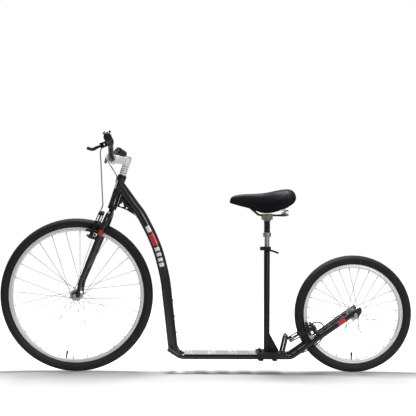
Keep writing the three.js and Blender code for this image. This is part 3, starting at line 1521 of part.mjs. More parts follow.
// The least space between stretches of one winding that lie more than some steps apart
function leastGap(points, apart, radius) {
  let least = Infinity;
  for (let i = 0; i < points.length; i += 1) {
    for (let j = i + apart; j < points.length; j += 1) {
      least = Math.min(least, points[i].distanceTo(points[j]) - 2 * radius);
    }
  }
  return least;
}

function cable(route, steps) {
  const path = new THREE.CatmullRomCurve3(route.map(([x, y, z]) => at(x, y, z)), false, 'centripetal');
  return tube(path, cableRadius, steps, slimSides);
}

piece(steering, 'fork_steerer', steerer(), colours.alloy);
for (const [name, side] of sides) {
  piece(steering, `fork_leg_${name}`, forkLeg(side), colours.frame);
}
piece(steering, 'stem', stem(), colours.alloy);
piece(steering, 'stem_spacers', spacers(), colours.alloy);
piece(bar, 'handlebar', handlebar(), colours.plastic);
piece(bar, 'bell', bell(), colours.steel);
const hinge = hammerHinge();
piece(frameAt(bar, hinge.x, hinge.y, hinge.z), 'bell_hammer', hammer(), colours.plastic);
for (const [name, side] of sides) {
  piece(bar, `grip_${name}`, grip(side), colours.rubber);
  piece(bar, `brake_perch_${name}`, perch(side), colours.plastic);
  const place = leverPlace(side);
  const leverFrame = frameAt(bar, place.x, place.y, place.z, -leverTilt);
  piece(leverFrame, `brake_lever_${name}`, lever(side), colours.plastic);
}

addWheel(frontWheel, 'front', frontBeadRadius, frontHubSpacing, frontValveDegrees);
addWheel(rearWheel, 'rear', rearBeadRadius, rearHubSpacing, rearValveDegrees);

const uprightFrame = frameAt(bike, headX, 0, headZ, headTilt);
const lowerCup = pipe(cupRadius, steererRadius + runningGap, -cupHeight / 2, cupHeight / 2);
const upperCup = pipe(cupRadius, steererRadius + runningGap, upperCupFoot, upperCupFoot + cupHeight);
const headTubeTop = headTubeFoot + headTubeLength;
const headTube = pipe(headTubeRadius, headTubeRadius - headTubeWall, headTubeFoot, headTubeTop);
piece(uprightFrame, 'headset_lower_cup', lowerCup, colours.plastic);
piece(uprightFrame, 'headset_upper_cup', upperCup, colours.plastic);
piece(uprightFrame, 'head_tube', headTube, colours.frame);
piece(bike, 'main_tube', mainTube(), colours.frame);
piece(bike, 'head_gusset', headGusset(), colours.frame);
for (const [name, side] of sides) {
  piece(bike, `deck_rail_${name}`, rail(side), colours.frame);
}
piece(bike, 'front_cross_tube', crossTube(), colours.frame);
piece(bike, 'deck_plate', deckPlate(), colours.deck);
piece(bike, 'heel_hoop', heelHoop(), colours.frame);

const front = frontPivot();
const frontBrake = frameAt(steering, front.x, 0, front.z, front.turn);
const toFrontAxle = at(-forkRake - front.x, 0, -forkLength - front.z);
toFrontAxle.applyAxisAngle(at(0, 1, 0), -front.turn);
addBrake(frontBrake, 'front', toFrontAxle.x, toFrontAxle.z, frontBeadRadius);
const rear = rearPivot();
const rearBrake = frameAt(bike, rear.x, 0, rear.z, rear.turn);
const toRearAxle = at(rearAxleX - rear.x, 0, rearTyreRadius - rear.z);
toRearAxle.applyAxisAngle(at(0, 1, 0), -rear.turn);
addBrake(rearBrake, 'rear', toRearAxle.x, toRearAxle.z, rearBeadRadius);

piece(bike, 'seat_foot_plate', footPlate(), colours.frame);
piece(bike, 'seat_clamp_front', seatClamp(clampBarFrontX), colours.frame);
piece(bike, 'seat_clamp_rear', seatClamp(clampBarRearX), colours.frame);
piece(bike, 'seat_tube', seatTube(), colours.frame);
piece(bike, 'seat_collar', seatCollar(), colours.frame);
const camX = seatX + skewerOffset();
const camY = -collarLugWidth - collarSlit / 2 - runningGap - camRadius;
const collarFrame = frameAt(bike, camX, camY, seatTubeTop - collarHeight / 2);
piece(collarFrame, 'seat_collar_lever', collarLever(), colours.plastic);
piece(bike, 'seatpost_outer', seatPostOuter(), colours.steel);
piece(bike, 'seatpost_shaft', seatPostShaft(), colours.steel);
piece(bike, 'seatpost_boot', seatPostBoot(), colours.rubber);
piece(bike, 'saddle_clamp', saddleClamp(), colours.steel);
piece(bike, 'saddle_cover', saddleCover(), colours.saddle);
piece(bike, 'saddle_base', saddleBase(), colours.plastic);
piece(bike, 'saddle_rails', saddleRails(), colours.frame);
const springGaps = [];
for (const [name, side] of sides) {
  const spring = saddleSpring(side);
  springGaps.push(spring.gap);
  piece(bike, `saddle_spring_${name}`, spring.shape, colours.steel);
}
console.log(`least gap between a saddle spring's curls: ${Math.min(...springGaps).toFixed(2)} mm`);

piece(bar, 'front_brake_cable', cable(frontCableRoute, frontCableSteps), colours.cable);
piece(steering, 'rear_brake_cable_upper', cable(rearCableUpperRoute, rearCableUpperSteps), colours.cable);
piece(bike, 'rear_brake_cable_lower', cable(rearCableLowerRoute, rearCableLowerSteps), colours.plastic);
piece(frontBrake, 'front_brake_noodle', noodle(frontNoodleRoute), colours.steel);
piece(rearBrake, 'rear_brake_noodle', noodle(rearNoodleRoute), colours.steel);

export default bike;
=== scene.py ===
"""A footbike in its studio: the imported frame, dressed with finer tubes, tyres, spokes, saddle and finishes.

Lengths are in millimetres as on a drawing, and become metres where a mesh is made. The front is at -X and the
rider's left at -Y. Profiles and outlines are drawn as tables of places beside the piece that they shape.
"""
import math

import bmesh
import bpy
import numpy as np
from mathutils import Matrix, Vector


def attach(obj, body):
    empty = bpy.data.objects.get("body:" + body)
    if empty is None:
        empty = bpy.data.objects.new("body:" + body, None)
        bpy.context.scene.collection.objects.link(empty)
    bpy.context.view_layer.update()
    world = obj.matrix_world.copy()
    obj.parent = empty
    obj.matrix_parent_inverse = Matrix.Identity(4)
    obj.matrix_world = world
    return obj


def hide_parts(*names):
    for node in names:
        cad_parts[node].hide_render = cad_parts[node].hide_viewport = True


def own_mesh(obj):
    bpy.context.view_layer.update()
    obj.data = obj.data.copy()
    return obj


MM = 0.001
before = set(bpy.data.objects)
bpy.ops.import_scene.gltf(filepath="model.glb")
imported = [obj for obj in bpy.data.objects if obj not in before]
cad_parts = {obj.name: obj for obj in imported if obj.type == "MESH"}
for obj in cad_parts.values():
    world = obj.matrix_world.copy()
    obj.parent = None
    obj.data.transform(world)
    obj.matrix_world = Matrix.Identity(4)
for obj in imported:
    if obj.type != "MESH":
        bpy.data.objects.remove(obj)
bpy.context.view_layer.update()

# The camera looks straight across the bike from the rider's left. Its picture is shifted by a few pixels
PICTURE_SIZE = 416
CAMERA_PLACE = (-7, -3300, 556)
CAMERA_ROLL = -0.0034
MM_A_PIXEL = 4.24
SHIFT_ACROSS, SHIFT_UP = 3.75, 32.28


def linked(name, data):
    """A new object in the scene, at the origin."""
    made = bpy.data.objects.new(name, data)
    bpy.context.scene.collection.objects.link(made)
    return made


def place_camera():
    """A camera whose lens makes a pixel MM_A_PIXEL wide at the bike: sensor width times distance over width."""
    data = bpy.data.cameras.new("photo_camera")
    data.sensor_width = 36
    data.lens = -CAMERA_PLACE[1] / MM_A_PIXEL / PICTURE_SIZE * data.sensor_width
    data.shift_x, data.shift_y = SHIFT_ACROSS / PICTURE_SIZE, SHIFT_UP / PICTURE_SIZE
    camera = linked("photo_camera", data)
    camera.location = [MM * value for value in CAMERA_PLACE]
    camera.rotation_euler = (math.pi / 2, CAMERA_ROLL, 0)
    bpy.context.scene.camera = camera


place_camera()

Y_AXIS = np.array([0.0, 1.0, 0.0])
Z_AXIS = np.array([0.0, 0.0, 1.0])


def unit(vectors):
    """Each vector over its length."""
    return vectors / np.maximum(np.linalg.norm(vectors, axis=-1, keepdims=True), 1e-12)


def flowing(points, steps):
    """A centripetal Catmull-Rom curve: between p1 and p2 each place is the Barry and Goldman blend of the
    four points round it, whose knots lie apart by the square root of the points' distances. Gives steps
    places a span."""
    p = np.asarray(points, float)
    p = np.vstack([2 * p[0] - p[1], p, 2 * p[-1] - p[-2]])
    spans = len(p) - 3
    gaps = np.maximum(np.linalg.norm(np.diff(p, axis=0), axis=1) ** 0.5, 1e-9)
    knots = np.cumsum([np.zeros(spans), *(gaps[i:spans + i] for i in range(3))], axis=0)[..., None, None]
    at = knots[1] + (knots[2] - knots[1]) * np.linspace(0, 1, steps, endpoint=False)[None, :, None]
    blended = [p[i:spans + i][:, None, :] for i in range(4)]
    for pairs in (((0, 1), (1, 2), (2, 3)), ((0, 2), (1, 3)), ((1, 2),)):
        blended = [((knots[b] - at) * before + (at - knots[a]) * after) / (knots[b] - knots[a])
                   for (a, b), before, after in zip(pairs, blended, blended[1:])]
    return np.vstack([blended[0].reshape(-1, p.shape[1]), p[-2]])


def quadratic(a, b, c, steps):
    """The quadratic Bezier curve (1-t)^2 a + 2t(1-t) b + t^2 c."""
    t = np.linspace(0, 1, steps)[:, None]
    return (1 - t) ** 2 * np.asarray(a) + 2 * t * (1 - t) * np.asarray(b) + t ** 2 * np.asarray(c)


def bent(corners, bend, steps=8):
    """Straight runs through the corners, where each inner corner is a quadratic curve from bend before to
    bend after."""
    p = np.asarray(corners, float)
    before = p[1:-1] + unit(p[:-2] - p[1:-1]) * bend
    after = p[1:-1] + unit(p[2:] - p[1:-1]) * bend
    curves = [quadratic(a, b, c, steps) for a, b, c in zip(before, p[1:-1], after)]
    return np.vstack([p[:1], *curves, p[-1:]])


def evenly(path, step):
    """The same path with a place about every step along its length."""
    lengths = np.concatenate([[0], np.cumsum(np.linalg.norm(np.diff(path, axis=0), axis=1))])
    count = max(2, int(round(lengths[-1] / step)) + 1)
    at = np.linspace(0, lengths[-1], count)
    return np.stack([np.interp(at, lengths, path[:, k]) for k in range(3)], axis=1)


def circle(angle, first, second):
    """The unit circle over two square vectors: cos a times the first plus sin a times the second."""
    return np.cos(angle) * first + np.sin(angle) * second


def around(sides):
    """Evenly spaced angles round a circle, laid along the middle one of three dimensions."""
    return np.linspace(0, 2 * math.pi, sides, endpoint=False)[None, :, None]


def squarish(wave, power):
    """A sine or cosine with its size raised to a power and its sign kept, which squares a circle off."""
    return np.sign(wave) * np.abs(wave) ** power


def across(path):
    """Two unit vectors square to the path at each place: the reference least along the path, made square to
    it, and the cross product of the two."""
    along = unit(np.gradient(path, axis=0))
    candidates = [(0, 1, 0), (0, 0, 1), (1, 0, 0), (0.3, 1, 0.2), (0.2, 0.3, 1), (1, 0.2, -0.4)]
    candidates = unit(np.array(candidates))
    reference = candidates[np.argmin(np.abs(along @ candidates.T).max(axis=0))]
    first = unit(reference - (along @ reference)[:, None] * along)
    return first, np.cross(along, first)


def mesh_of(name, points, faces, face_uvs, sharp):
    """A mesh from points in millimetres, turned to face outwards by the sign of its volume: the sum over its
    faces' fans of triangles of a . (b x c)."""
    volume = sum(
        np.einsum("ij,ij->i", points[f[:, 0]], np.cross(points[f[:, k]], points[f[:, k + 1]])).sum()
        for f in faces for k in range(1, f.shape[1] - 1)
    )
    if volume < 0:
        faces = [f[:, ::-1] for f in faces]
        face_uvs = [u[:, ::-1] for u in face_uvs]
    mesh = bpy.data.meshes.new(name)
    corners = np.concatenate([f.ravel() for f in faces]).astype(np.int32)
    totals = np.concatenate([np.full(len(f), f.shape[1]) for f in faces]).astype(np.int32)
    starts = np.concatenate([[0], np.cumsum(totals)[:-1]]).astype(np.int32)
    mesh.vertices.add(len(points))
    mesh.vertices.foreach_set("co", (points * MM).astype(np.float32).ravel())
    mesh.loops.add(len(corners))
    mesh.loops.foreach_set("vertex_index", corners)
    mesh.polygons.add(len(totals))
    mesh.polygons.foreach_set("loop_start", starts)
    mesh.polygons.foreach_set("loop_total", totals)
    mesh.update(calc_edges=True)
    layer = mesh.uv_layers.new(name="along")
    layer.data.foreach_set("uv", np.concatenate([u.ravel() for u in face_uvs]).astype(np.float32))
    mesh.validate()
    mesh.shade_smooth()
    mesh.set_sharp_from_angle(angle=math.radians(sharp))
    return mesh


def skin(grid, closed_rows=False):
    """Points, faces and map places of a surface over a grid of rows and columns, whose columns close. The map
    is in metres along the rows and round the columns, and an open end gets one flat face."""
    rows, columns = grid.shape[:2]
    row, column = np.mgrid[:rows if closed_rows else rows - 1, :columns]
    corner_rows = np.stack([row, row, row + 1, row + 1], -1)
    corner_columns = np.stack([column, column + 1, column + 1, column], -1)
    quads = ((corner_rows % rows) * columns + corner_columns % columns).reshape(-1, 4)
    wrapped = np.concatenate([grid, grid[:1]])
    long = np.cumsum(np.linalg.norm(np.diff(wrapped, axis=0, prepend=grid[:1]), axis=2).max(axis=1)) * MM
    looped = np.concatenate([grid, grid[:, :1]], axis=1)
    wide = np.cumsum(np.linalg.norm(np.diff(looped, axis=1, prepend=grid[:, :1]), axis=2).max(axis=0)) * MM
    places = np.stack([long[corner_rows], wide[corner_columns]], -1).reshape(-1, 4, 2)
    faces, uvs = [quads], [places]
    if not closed_rows:
        first = np.arange(columns)[::-1][None, :]
        last = ((rows - 1) * columns + np.arange(columns))[None, :]
        faces += [first, last]
        uvs += [np.zeros((1, columns, 2)), np.zeros((1, columns, 2))]
    return grid.reshape(-1, 3), faces, uvs


def several(skins):
    """Many skins as one: their points one after the other and their faces numbered on."""
    offsets = np.cumsum([0] + [len(points) for points, _, _ in skins[:-1]])
    points = np.concatenate([s[0] for s in skins])
    faces = [f + o for s, o in zip(skins, offsets) for f in s[1]]
    uvs = [u for s in skins for u in s[2]]
    kinds = sorted({f.shape[1] for f in faces})
    return (
        points,
        [np.concatenate([f for f in faces if f.shape[1] == k]) for k in kinds],
        [np.concatenate([u for u, f in zip(uvs, faces) if f.shape[1] == k]) for k in kinds],
    )


def swept(path, radius, sides):
    """A round tube: at each place of the path, the place plus radius times (cos a, sin a) over the two
    vectors square to it. The radius may change along the path."""
    first, second = across(path)
    radius = np.broadcast_to(np.asarray(radius, float), (len(path),))[:, None, None]
    return path[:, None, :] + radius * circle(around(sides), first[:, None, :], second[:, None, :])


def turned(profile, centre=(0, 0, 0), axis=Y_AXIS, sides=64):
    """A profile of (radius, height) pairs turned about an axis: centre + height * axis + radius * (cos a, sin
    a)."""
    profile = np.asarray(profile, float)
    axis = unit(np.asarray(axis, float))
    reference = Z_AXIS if abs(axis[2]) < 0.9 else Y_AXIS
    first = unit(reference - (reference @ axis) * axis)
    ring = circle(around(sides), first, np.cross(axis, first))
    return np.asarray(centre, float) + profile[:, 1, None, None] * axis + profile[:, 0, None, None] * ring


def put(name, made, material, body, replaces=(), sharp=35, bevel=0.0):
    """A finished piece: its mesh, its material and the body it rides on."""
    return finished(linked(name, mesh_of(name, *made, sharp)), material, body, replaces, bevel)


def finished(piece, material, body, replaces, bevel):
    """The piece with its material, its edges eased where they are sharper than 40 degrees, and the body it
    rides on, with the parts that it replaces hidden."""
    piece.data.materials.clear()
    piece.data.materials.append(material)
    if bevel:
        edge = piece.modifiers.new("edges", "BEVEL")
        edge.width, edge.segments = bevel * MM, 2
        edge.limit_method, edge.angle_limit = "ANGLE", math.radians(40)
    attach(piece, body)
    if replaces:
        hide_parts(*replaces)
    return piece


def dress(node, material, body, bevel=0.35):
    """A CAD node's shape with its loose triangles merged, flat faces dissolved and edges eased."""
    name = f"{node}_dressed"
    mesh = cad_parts[node].data.copy()
    mesh.name = name
    piece = linked(name, mesh)
    work = bmesh.new()
    work.from_mesh(mesh)
    bmesh.ops.remove_doubles(work, verts=work.verts, dist=0.00001)
    bmesh.ops.dissolve_limit(work, angle_limit=math.radians(1), verts=work.verts, edges=work.edges)
    work.to_mesh(mesh)
    work.free()
    mesh.shade_smooth()
    mesh.set_sharp_from_angle(angle=math.radians(38))
    return finished(piece, material, body, [node], bevel)


def node_group(name, inputs, outputs):
    """A shader group with its named inputs and outputs, and its two end nodes."""
    group = bpy.data.node_groups.new(name, "ShaderNodeTree")
    kinds = {"colour": "NodeSocketColor", "value": "NodeSocketFloat", "vector": "NodeSocketVector"}
    for label, kind, value in inputs:
        socket = group.interface.new_socket(label, in_out="INPUT", socket_type=kinds[kind])
        socket.default_value = value
    for label, kind in outputs:
        group.interface.new_socket(label, in_out="OUTPUT", socket_type=kinds[kind])
    return group, group.nodes.new("NodeGroupInput"), group.nodes.new("NodeGroupOutput")


def add(tree, kind, settings=None, **values):
    """A node with its settings and its inputs' values, where an input's name has _ for a space."""
    node = tree.nodes.new(kind)
    for key, value in (settings or {}).items():
        setattr(node, key, value)
    for key, value in values.items():
        node.inputs[key.replace("_", " ")].default_value = value
    return node


def maths(tree, operation, a, b=None, clamp=False):
    """A maths node's result from numbers or other nodes' results."""
    node = add(tree, "ShaderNodeMath", {"operation": operation, "use_clamp": clamp})
    for socket, value in zip(node.inputs, (a, b)):
        if isinstance(value, (int, float)):
            socket.default_value = value
        elif value is not None:
            tree.links.new(value, socket)
    return node.outputs[0]


def blend(tree, factor, a, b, mode="MIX"):
    """Two colours mixed by a factor, each a value or another node's result."""
    node = add(tree, "ShaderNodeMix", {"data_type": "RGBA", "blend_type": mode})
    for socket, value in ((node.inputs[0], factor), (node.inputs[6], a), (node.inputs[7], b)):
        if isinstance(value, bpy.types.NodeSocket):
            tree.links.new(value, socket)
        else:
            socket.default_value = value
    return node.outputs[2]


def noise(tree, place, scale, detail):
    """A noise's value at a place. Its scale is a number or another node's result."""
    node = add(tree, "ShaderNodeTexNoise", Detail=detail)
    tree.links.new(place, node.inputs["Vector"])
    if isinstance(scale, bpy.types.NodeSocket):
        tree.links.new(scale, node.inputs["Scale"])
    else:
        node.inputs["Scale"].default_value = scale
    return node.outputs["Fac"]


def make_grain():
    """A fine noise at a scale of its own, as a height about a half."""
    inputs = [("Place", "vector", (0, 0, 0)), ("Scale", "value", 500)]
    group, start, end = node_group("grain", inputs, [("Height", "value")])
    group.links.new(noise(group, start.outputs["Place"], start.outputs["Scale"], 4), end.inputs["Height"])
    return group


def make_wear():
    """A finish's colour and roughness: patches a little lighter and darker, worn edges where the surface is
    sharp and a noise is high, and dust near the ground."""
    group, start, end = node_group(
        "wear",
        [("Place", "vector", (0, 0, 0)), ("Colour", "colour", (0, 0, 0, 1)), ("Worn", "colour", (0, 0, 0, 1)),
         ("Edge", "value", 0.3), ("Patches", "value", 0.1), ("Patch Scale", "value", 12),
         ("Low", "value", 0.3), ("High", "value", 0.5), ("Dust", "value", 0.1)],
        [("Colour", "colour"), ("Roughness", "value")],
    )
    given, links = start.outputs, group.links
    patch = noise(group, given["Place"], given["Patch Scale"], 6)
    shade = maths(group, "MULTIPLY", maths(group, "SUBTRACT", patch, 0.5), given["Patches"])
    lighter = maths(group, "ADD", maths(group, "MULTIPLY", shade, 4), 1)
    grey = add(group, "ShaderNodeCombineColor")
    for socket in grey.inputs:
        links.new(lighter, socket)
    varied = blend(group, 1.0, given["Colour"], grey.outputs["Color"], "MULTIPLY")
    sharp = add(group, "ShaderNodeNewGeometry").outputs["Pointiness"]
    sharp = maths(group, "MULTIPLY", maths(group, "SUBTRACT", sharp, 0.53), 9, clamp=True)
    rubbed = maths(group, "SUBTRACT", noise(group, given["Place"], 140, 3), 0.42)
    rubbed = maths(group, "MULTIPLY", rubbed, 6, clamp=True)
    edge = maths(group, "MULTIPLY", maths(group, "MULTIPLY", sharp, rubbed), given["Edge"])
    worn = blend(group, edge, varied, given["Worn"])
    axes = add(group, "ShaderNodeSeparateXYZ")
    links.new(given["Place"], axes.inputs[0])
    low = maths(group, "SUBTRACT", 1, maths(group, "MULTIPLY", axes.outputs["Z"], 2.2), clamp=True)
    speckle = maths(group, "MULTIPLY", low, noise(group, given["Place"], 60, 8))
    dust = maths(group, "MULTIPLY", speckle, given["Dust"])
    links.new(blend(group, dust, worn, (0.42, 0.4, 0.37, 1)), end.inputs["Colour"])
    span = maths(group, "SUBTRACT", given["High"], given["Low"])
    rough = maths(group, "ADD", given["Low"], maths(group, "MULTIPLY", patch, span))
    rough = maths(group, "ADD", rough, maths(group, "MULTIPLY", dust, 0.5), clamp=True)
    links.new(rough, end.inputs["Roughness"])
    return group


GRAIN = make_grain()
WEAR = make_wear()


def finish(name, colour, rough, metal=0.0, coat=0.0, worn=0.5, edge=0.2, patches=0.06, patch_scale=12,
           dust=0.02, grain=1500, relief=0.02, depth=0.3, along=None, specular=0.5):
    """A Principled surface whose colour and roughness come from the wear group and whose bump from the grain
    group. worn is a colour or a grey, relief is in millimetres, and along stretches the grain over the
    piece's own map, as on brushed metal."""
    worn = worn if isinstance(worn, tuple) else (worn,) * 3
    material = bpy.data.materials.new(name)
    material.use_nodes = True
    tree = material.node_tree
    surface = tree.nodes["Principled BSDF"]
    place = add(tree, "ShaderNodeTexCoord")
    wear = add(tree, "ShaderNodeGroup", {"node_tree": WEAR}, Colour=(*colour, 1), Worn=(*worn, 1), Edge=edge,
               Patches=patches, Patch_Scale=patch_scale, Low=rough[0], High=rough[1], Dust=dust)
    tree.links.new(place.outputs["Object"], wear.inputs["Place"])
    fine = add(tree, "ShaderNodeGroup", {"node_tree": GRAIN}, Scale=grain)
    if along:
        stretch = add(tree, "ShaderNodeMapping", Scale=(along[0], along[1], 1))
        tree.links.new(place.outputs["UV"], stretch.inputs["Vector"])
        tree.links.new(stretch.outputs["Vector"], fine.inputs["Place"])
    else:
        tree.links.new(place.outputs["Object"], fine.inputs["Place"])
    bump = add(tree, "ShaderNodeBump", Strength=depth, Distance=relief * MM)
    tree.links.new(fine.outputs["Height"], bump.inputs["Height"])
    tree.links.new(bump.outputs["Normal"], surface.inputs["Normal"])
    tree.links.new(wear.outputs["Colour"], surface.inputs["Base Color"])
    tree.links.new(wear.outputs["Roughness"], surface.inputs["Roughness"])
    surface.inputs["Metallic"].default_value = metal
    surface.inputs["Coat Weight"].default_value = coat
    surface.inputs["Coat Roughness"].default_value = 0.06
    surface.inputs["Specular IOR Level"].default_value = specular
    return material


gloss_black = finish("gloss_black_paint", (0.006, 0.006, 0.0065), (0.12, 0.24), worn=0.1, patches=0.12,
                     patch_scale=9, grain=260, depth=0.12, specular=0.6)
satin_black = finish("satin_black_metal", (0.006, 0.006, 0.0065), (0.3, 0.45), worn=0.2, edge=0.3,
                     patches=0.12, specular=0.3)
black_plastic = finish("moulded_black_plastic", (0.008, 0.008, 0.009), (0.4, 0.55), worn=0.05, grain=2200,
                       relief=0.04, specular=0.3)
tyre_rubber = finish("tyre_rubber", (0.018, 0.018, 0.02), (0.6, 0.8), worn=0.06, patches=0.12, patch_scale=20,
                     dust=0.05, grain=1400, relief=0.12, depth=0.4, specular=0.2)
grip_rubber = finish("grip_rubber", (0.01, 0.01, 0.011), (0.55, 0.75), worn=0.04, dust=0.0, grain=1800,
                     relief=0.1, depth=0.5, specular=0.4)
rim_alloy = finish("brushed_rim_alloy", (0.86, 0.86, 0.87), (0.3, 0.45), metal=0.4, patches=0.04, grain=60,
                   depth=0.2, along=(45, 0.4))
white_alloy = finish("silver_painted_alloy", (0.93, 0.92, 0.96), (0.35, 0.45), metal=0.15, coat=0.2, worn=0.6,
                     patches=0.03, dust=0.0, grain=2600, relief=0.01, depth=0.15)
bright_steel = finish("bright_steel", (0.5, 0.5, 0.51), (0.2, 0.35), metal=1.0, worn=0.3, relief=0.01)
spoke_steel = finish("polished_spokes", (0.25, 0.25, 0.26), (0.3, 0.45), metal=0.3, patches=0.05, relief=0.01)
seat_steel = finish("satin_seat_steel", (0.25, 0.25, 0.19), (0.3, 0.42), metal=0.85, worn=(0.4, 0.4, 0.34),
                    patches=0.12, patch_scale=30, dust=0.0)
post_steel = finish("pale_post_steel", (0.42, 0.42, 0.36), (0.25, 0.38), metal=0.85, worn=(0.5, 0.5, 0.45),
                    patches=0.1, patch_scale=30, dust=0.0)
deck_grip = finish("grained_deck", (0.27, 0.27, 0.275), (0.65, 0.9), worn=0.6, edge=0.5, patches=0.16,
                   patch_scale=25, dust=0.1, grain=900, relief=0.3, depth=0.8)
cable_grey = finish("grey_cable_cover", (0.24, 0.24, 0.25), (0.35, 0.5), worn=0.3, dust=0.0)
saddle_vinyl = finish("saddle_vinyl", (0.004, 0.004, 0.007), (0.5, 0.62), worn=(0.03, 0.03, 0.035),
                      patches=0.1, dust=0.0, grain=500, relief=0.04, depth=0.1, specular=0.16)
saddle_piping = finish("saddle_piping", (0.02, 0.02, 0.024), (0.25, 0.35), worn=0.05, patches=0.08, dust=0.0,
                       grain=900, relief=0.03)
red_band = finish("red_band", (0.62, 0.018, 0.02), (0.3, 0.45), coat=0.4, grain=700, relief=0.05)
white_band = finish("white_band", (0.95, 0.95, 0.95), (0.3, 0.45), coat=0.4, grain=700, relief=0.05)

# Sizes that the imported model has
FRONT_BEAD, REAR_BEAD = 279.5, 203.0
TYRE_HEIGHT = 44.0
RIM_LIP = 6.0
FRONT_AXLE = np.array([-546.75, 0, FRONT_BEAD + TYRE_HEIGHT])
REAR_AXLE = np.array([623.25, 0, REAR_BEAD + TYRE_HEIGHT])
TILT = math.radians(17.5)
FORK_LENGTH, FORK_RAKE = 399.0, 31.0
HEAD = FRONT_AXLE + [FORK_LENGTH * math.sin(TILT) + FORK_RAKE * math.cos(TILT), 0,
                     FORK_LENGTH * math.cos(TILT) - FORK_RAKE * math.sin(TILT)]
UP = np.array([math.sin(TILT), 0, math.cos(TILT)])
PAD_INSET, PIVOT_DROP, POST_TRACK, ARM_LENGTH = 7.5, 23, 42, 112
HEAD_FOOT, HEAD_TOP = 8.8, 124.8
SPACERS_FOOT, SPACER, STEM_FOOT, STEM_TOP = 142.4, 9.3, 189.2, 219.2
DECK_TOP, RAIL_RADIUS, RAIL_HEIGHT, RAIL_TRACK = 82.3, 10.5, 69.5, 50
STAY_TRACK, STAY_RISE = 60.5, 198.6
SIDES = (("left", -1), ("right", 1))


def steered(points):
    """Places on the fork, whose frame leans back by the head's tilt about Y, in the bike's own frame."""
    p = np.asarray(points, float)
    x, y, z = p[..., 0], p[..., 1], p[..., 2]
    cos, sin = math.cos(TILT), math.sin(TILT)
    return HEAD + np.stack([x * cos + z * sin, y, -x * sin + z * cos], -1)


def placed(points, origin, x, z):
    """Places in a frame whose x and z lie in the bike's own plane, in the bike's own frame."""
    return np.asarray(origin) + np.asarray(points, float) @ np.array([x, Y_AXIS, z])


def plate(outline, thickness, y):
    """An outline of (x, z) pairs carried along Y by its thickness, about the middle plane at y."""
    outline = np.asarray(outline, float)
    rows = [np.stack([outline[:, 0], np.full(len(outline), y + side * thickness / 2), outline[:, 1]], 1)
            for side in (-1, 1)]
    return skin(np.stack(rows))


def mirrored(pairs):
    """The pairs from last to first with their second values turned about 0."""
    return [(first, -second) for first, second in pairs[::-1]]


def rod(start, end, radius, sides=24):
    """A straight round rod with its ends rounded by about a tenth of its radius."""
    start, end = np.asarray(start, float), np.asarray(end, float)
    along = unit(end - start)
    length = np.linalg.norm(end - start)
    edge = min(radius * 0.12, length / 4)
    profile = [(radius - edge, 0), (radius - edge * 0.3, edge * 0.3), (radius, edge), (radius, length - edge),
               (radius - edge * 0.3, length - edge * 0.3), (radius - edge, length)]
    return skin(turned(profile, start, along, sides))


def lathe(profile, centre=(0, 0, 0), axis=Y_AXIS, sides=64):
    """A closed ring of (radius, height) pairs turned about an axis."""
    return skin(turned(profile, centre, axis, sides), closed_rows=True)


TREAD_DEPTH = 1.3
SPOKES, CROSSINGS, SPOKE_RADIUS = 28, 3, 1.0
SPOKE_CIRCLE, FLANGE_PLACE, STAGGER, NIPPLE_INSET = 19.5, 33, 1.6, 10.2
VALVE = [(3.4, -3), (3.4, 12), (3.9, 12.4), (3.9, 15), (3.2, 15.6), (3.2, 17), (4.3, 17.4), (4.3, 28.6),
         (3.2, 29.5)]
NIPPLE = [(2.4, -1.5), (2.4, 1.2), (1.9, 2), (1.6, 11.5), (1.2, 12.5)]


def tyre_section(bead):
    """The tyre's closed section as (radius, y) pairs: a smooth outer curve from foot to foot and the inner
    one, which is the same curve shrunk towards its middle by the wall."""
    half = [(0.6, 9.2), (4, 9.3), (6.8, 9.5), (9.4, 13), (13.6, 18.2), (18.9, 21.8), (24.6, 22.9),
            (30.4, 21.9), (35.6, 18.6), (39.8, 13.6), (42.5, 8), (43.8, 3)]
    outer = np.array(half + [(TYRE_HEIGHT, 0)] + mirrored(half), float)
    outer = flowing(np.column_stack([outer, np.zeros(len(outer))]), 4)[:, :2]
    inner = np.column_stack([(outer[:, 0] - 20) * 0.88 + 19.2, outer[:, 1] * 0.86])
    inner = inner[inner[:, 0] > 4][::-1]
    return np.vstack([outer, inner]) + [bead, 0], len(outer)


def tyre(bead, pitches):
    """The section turned about the axle, its tread pushed in where a groove runs. Two grooves run round on
    either side of the middle and shorter ones run across, each row's half a pitch on from its neighbour's. A
    groove's depth is exp(-(d / w)^2) at d from its middle, and the tread fades out towards the side wall."""
    inner_groove, outer_groove, groove_width = 4.6, 11, 0.9
    section, outer = tyre_section(bead)
    columns = pitches * 8
    angle = np.linspace(0, 2 * math.pi, columns, endpoint=False)[None, :]
    radius = np.repeat(section[:, :1], columns, axis=1)
    y = np.repeat(section[:, 1:], columns, axis=1)
    place = np.abs(y)
    row = np.where((place >= inner_groove) & (place < outer_groove), 0.5, 0.0)
    pitch = (angle / (2 * math.pi) * pitches + row + 0.35 * np.sign(y) * (place > outer_groove)) % 1
    across_groove = np.exp(-((pitch - 0.5) / 0.13) ** 2) * (place > 0.2)
    round_groove = sum(np.exp(-((place - at) / groove_width) ** 2) for at in (inner_groove, outer_groove))
    fade = np.clip((17.5 - place) / 3, 0, 1)
    tread = TREAD_DEPTH * np.clip(across_groove + round_groove, 0, 1) * fade
    side_rib = 0.35 * np.exp(-((place - 21.3) / 0.5) ** 2)
    radius[:outer] -= (tread - side_rib)[:outer]
    return skin(np.stack([radius * np.cos(angle), y, radius * np.sin(angle)], -1), closed_rows=True)


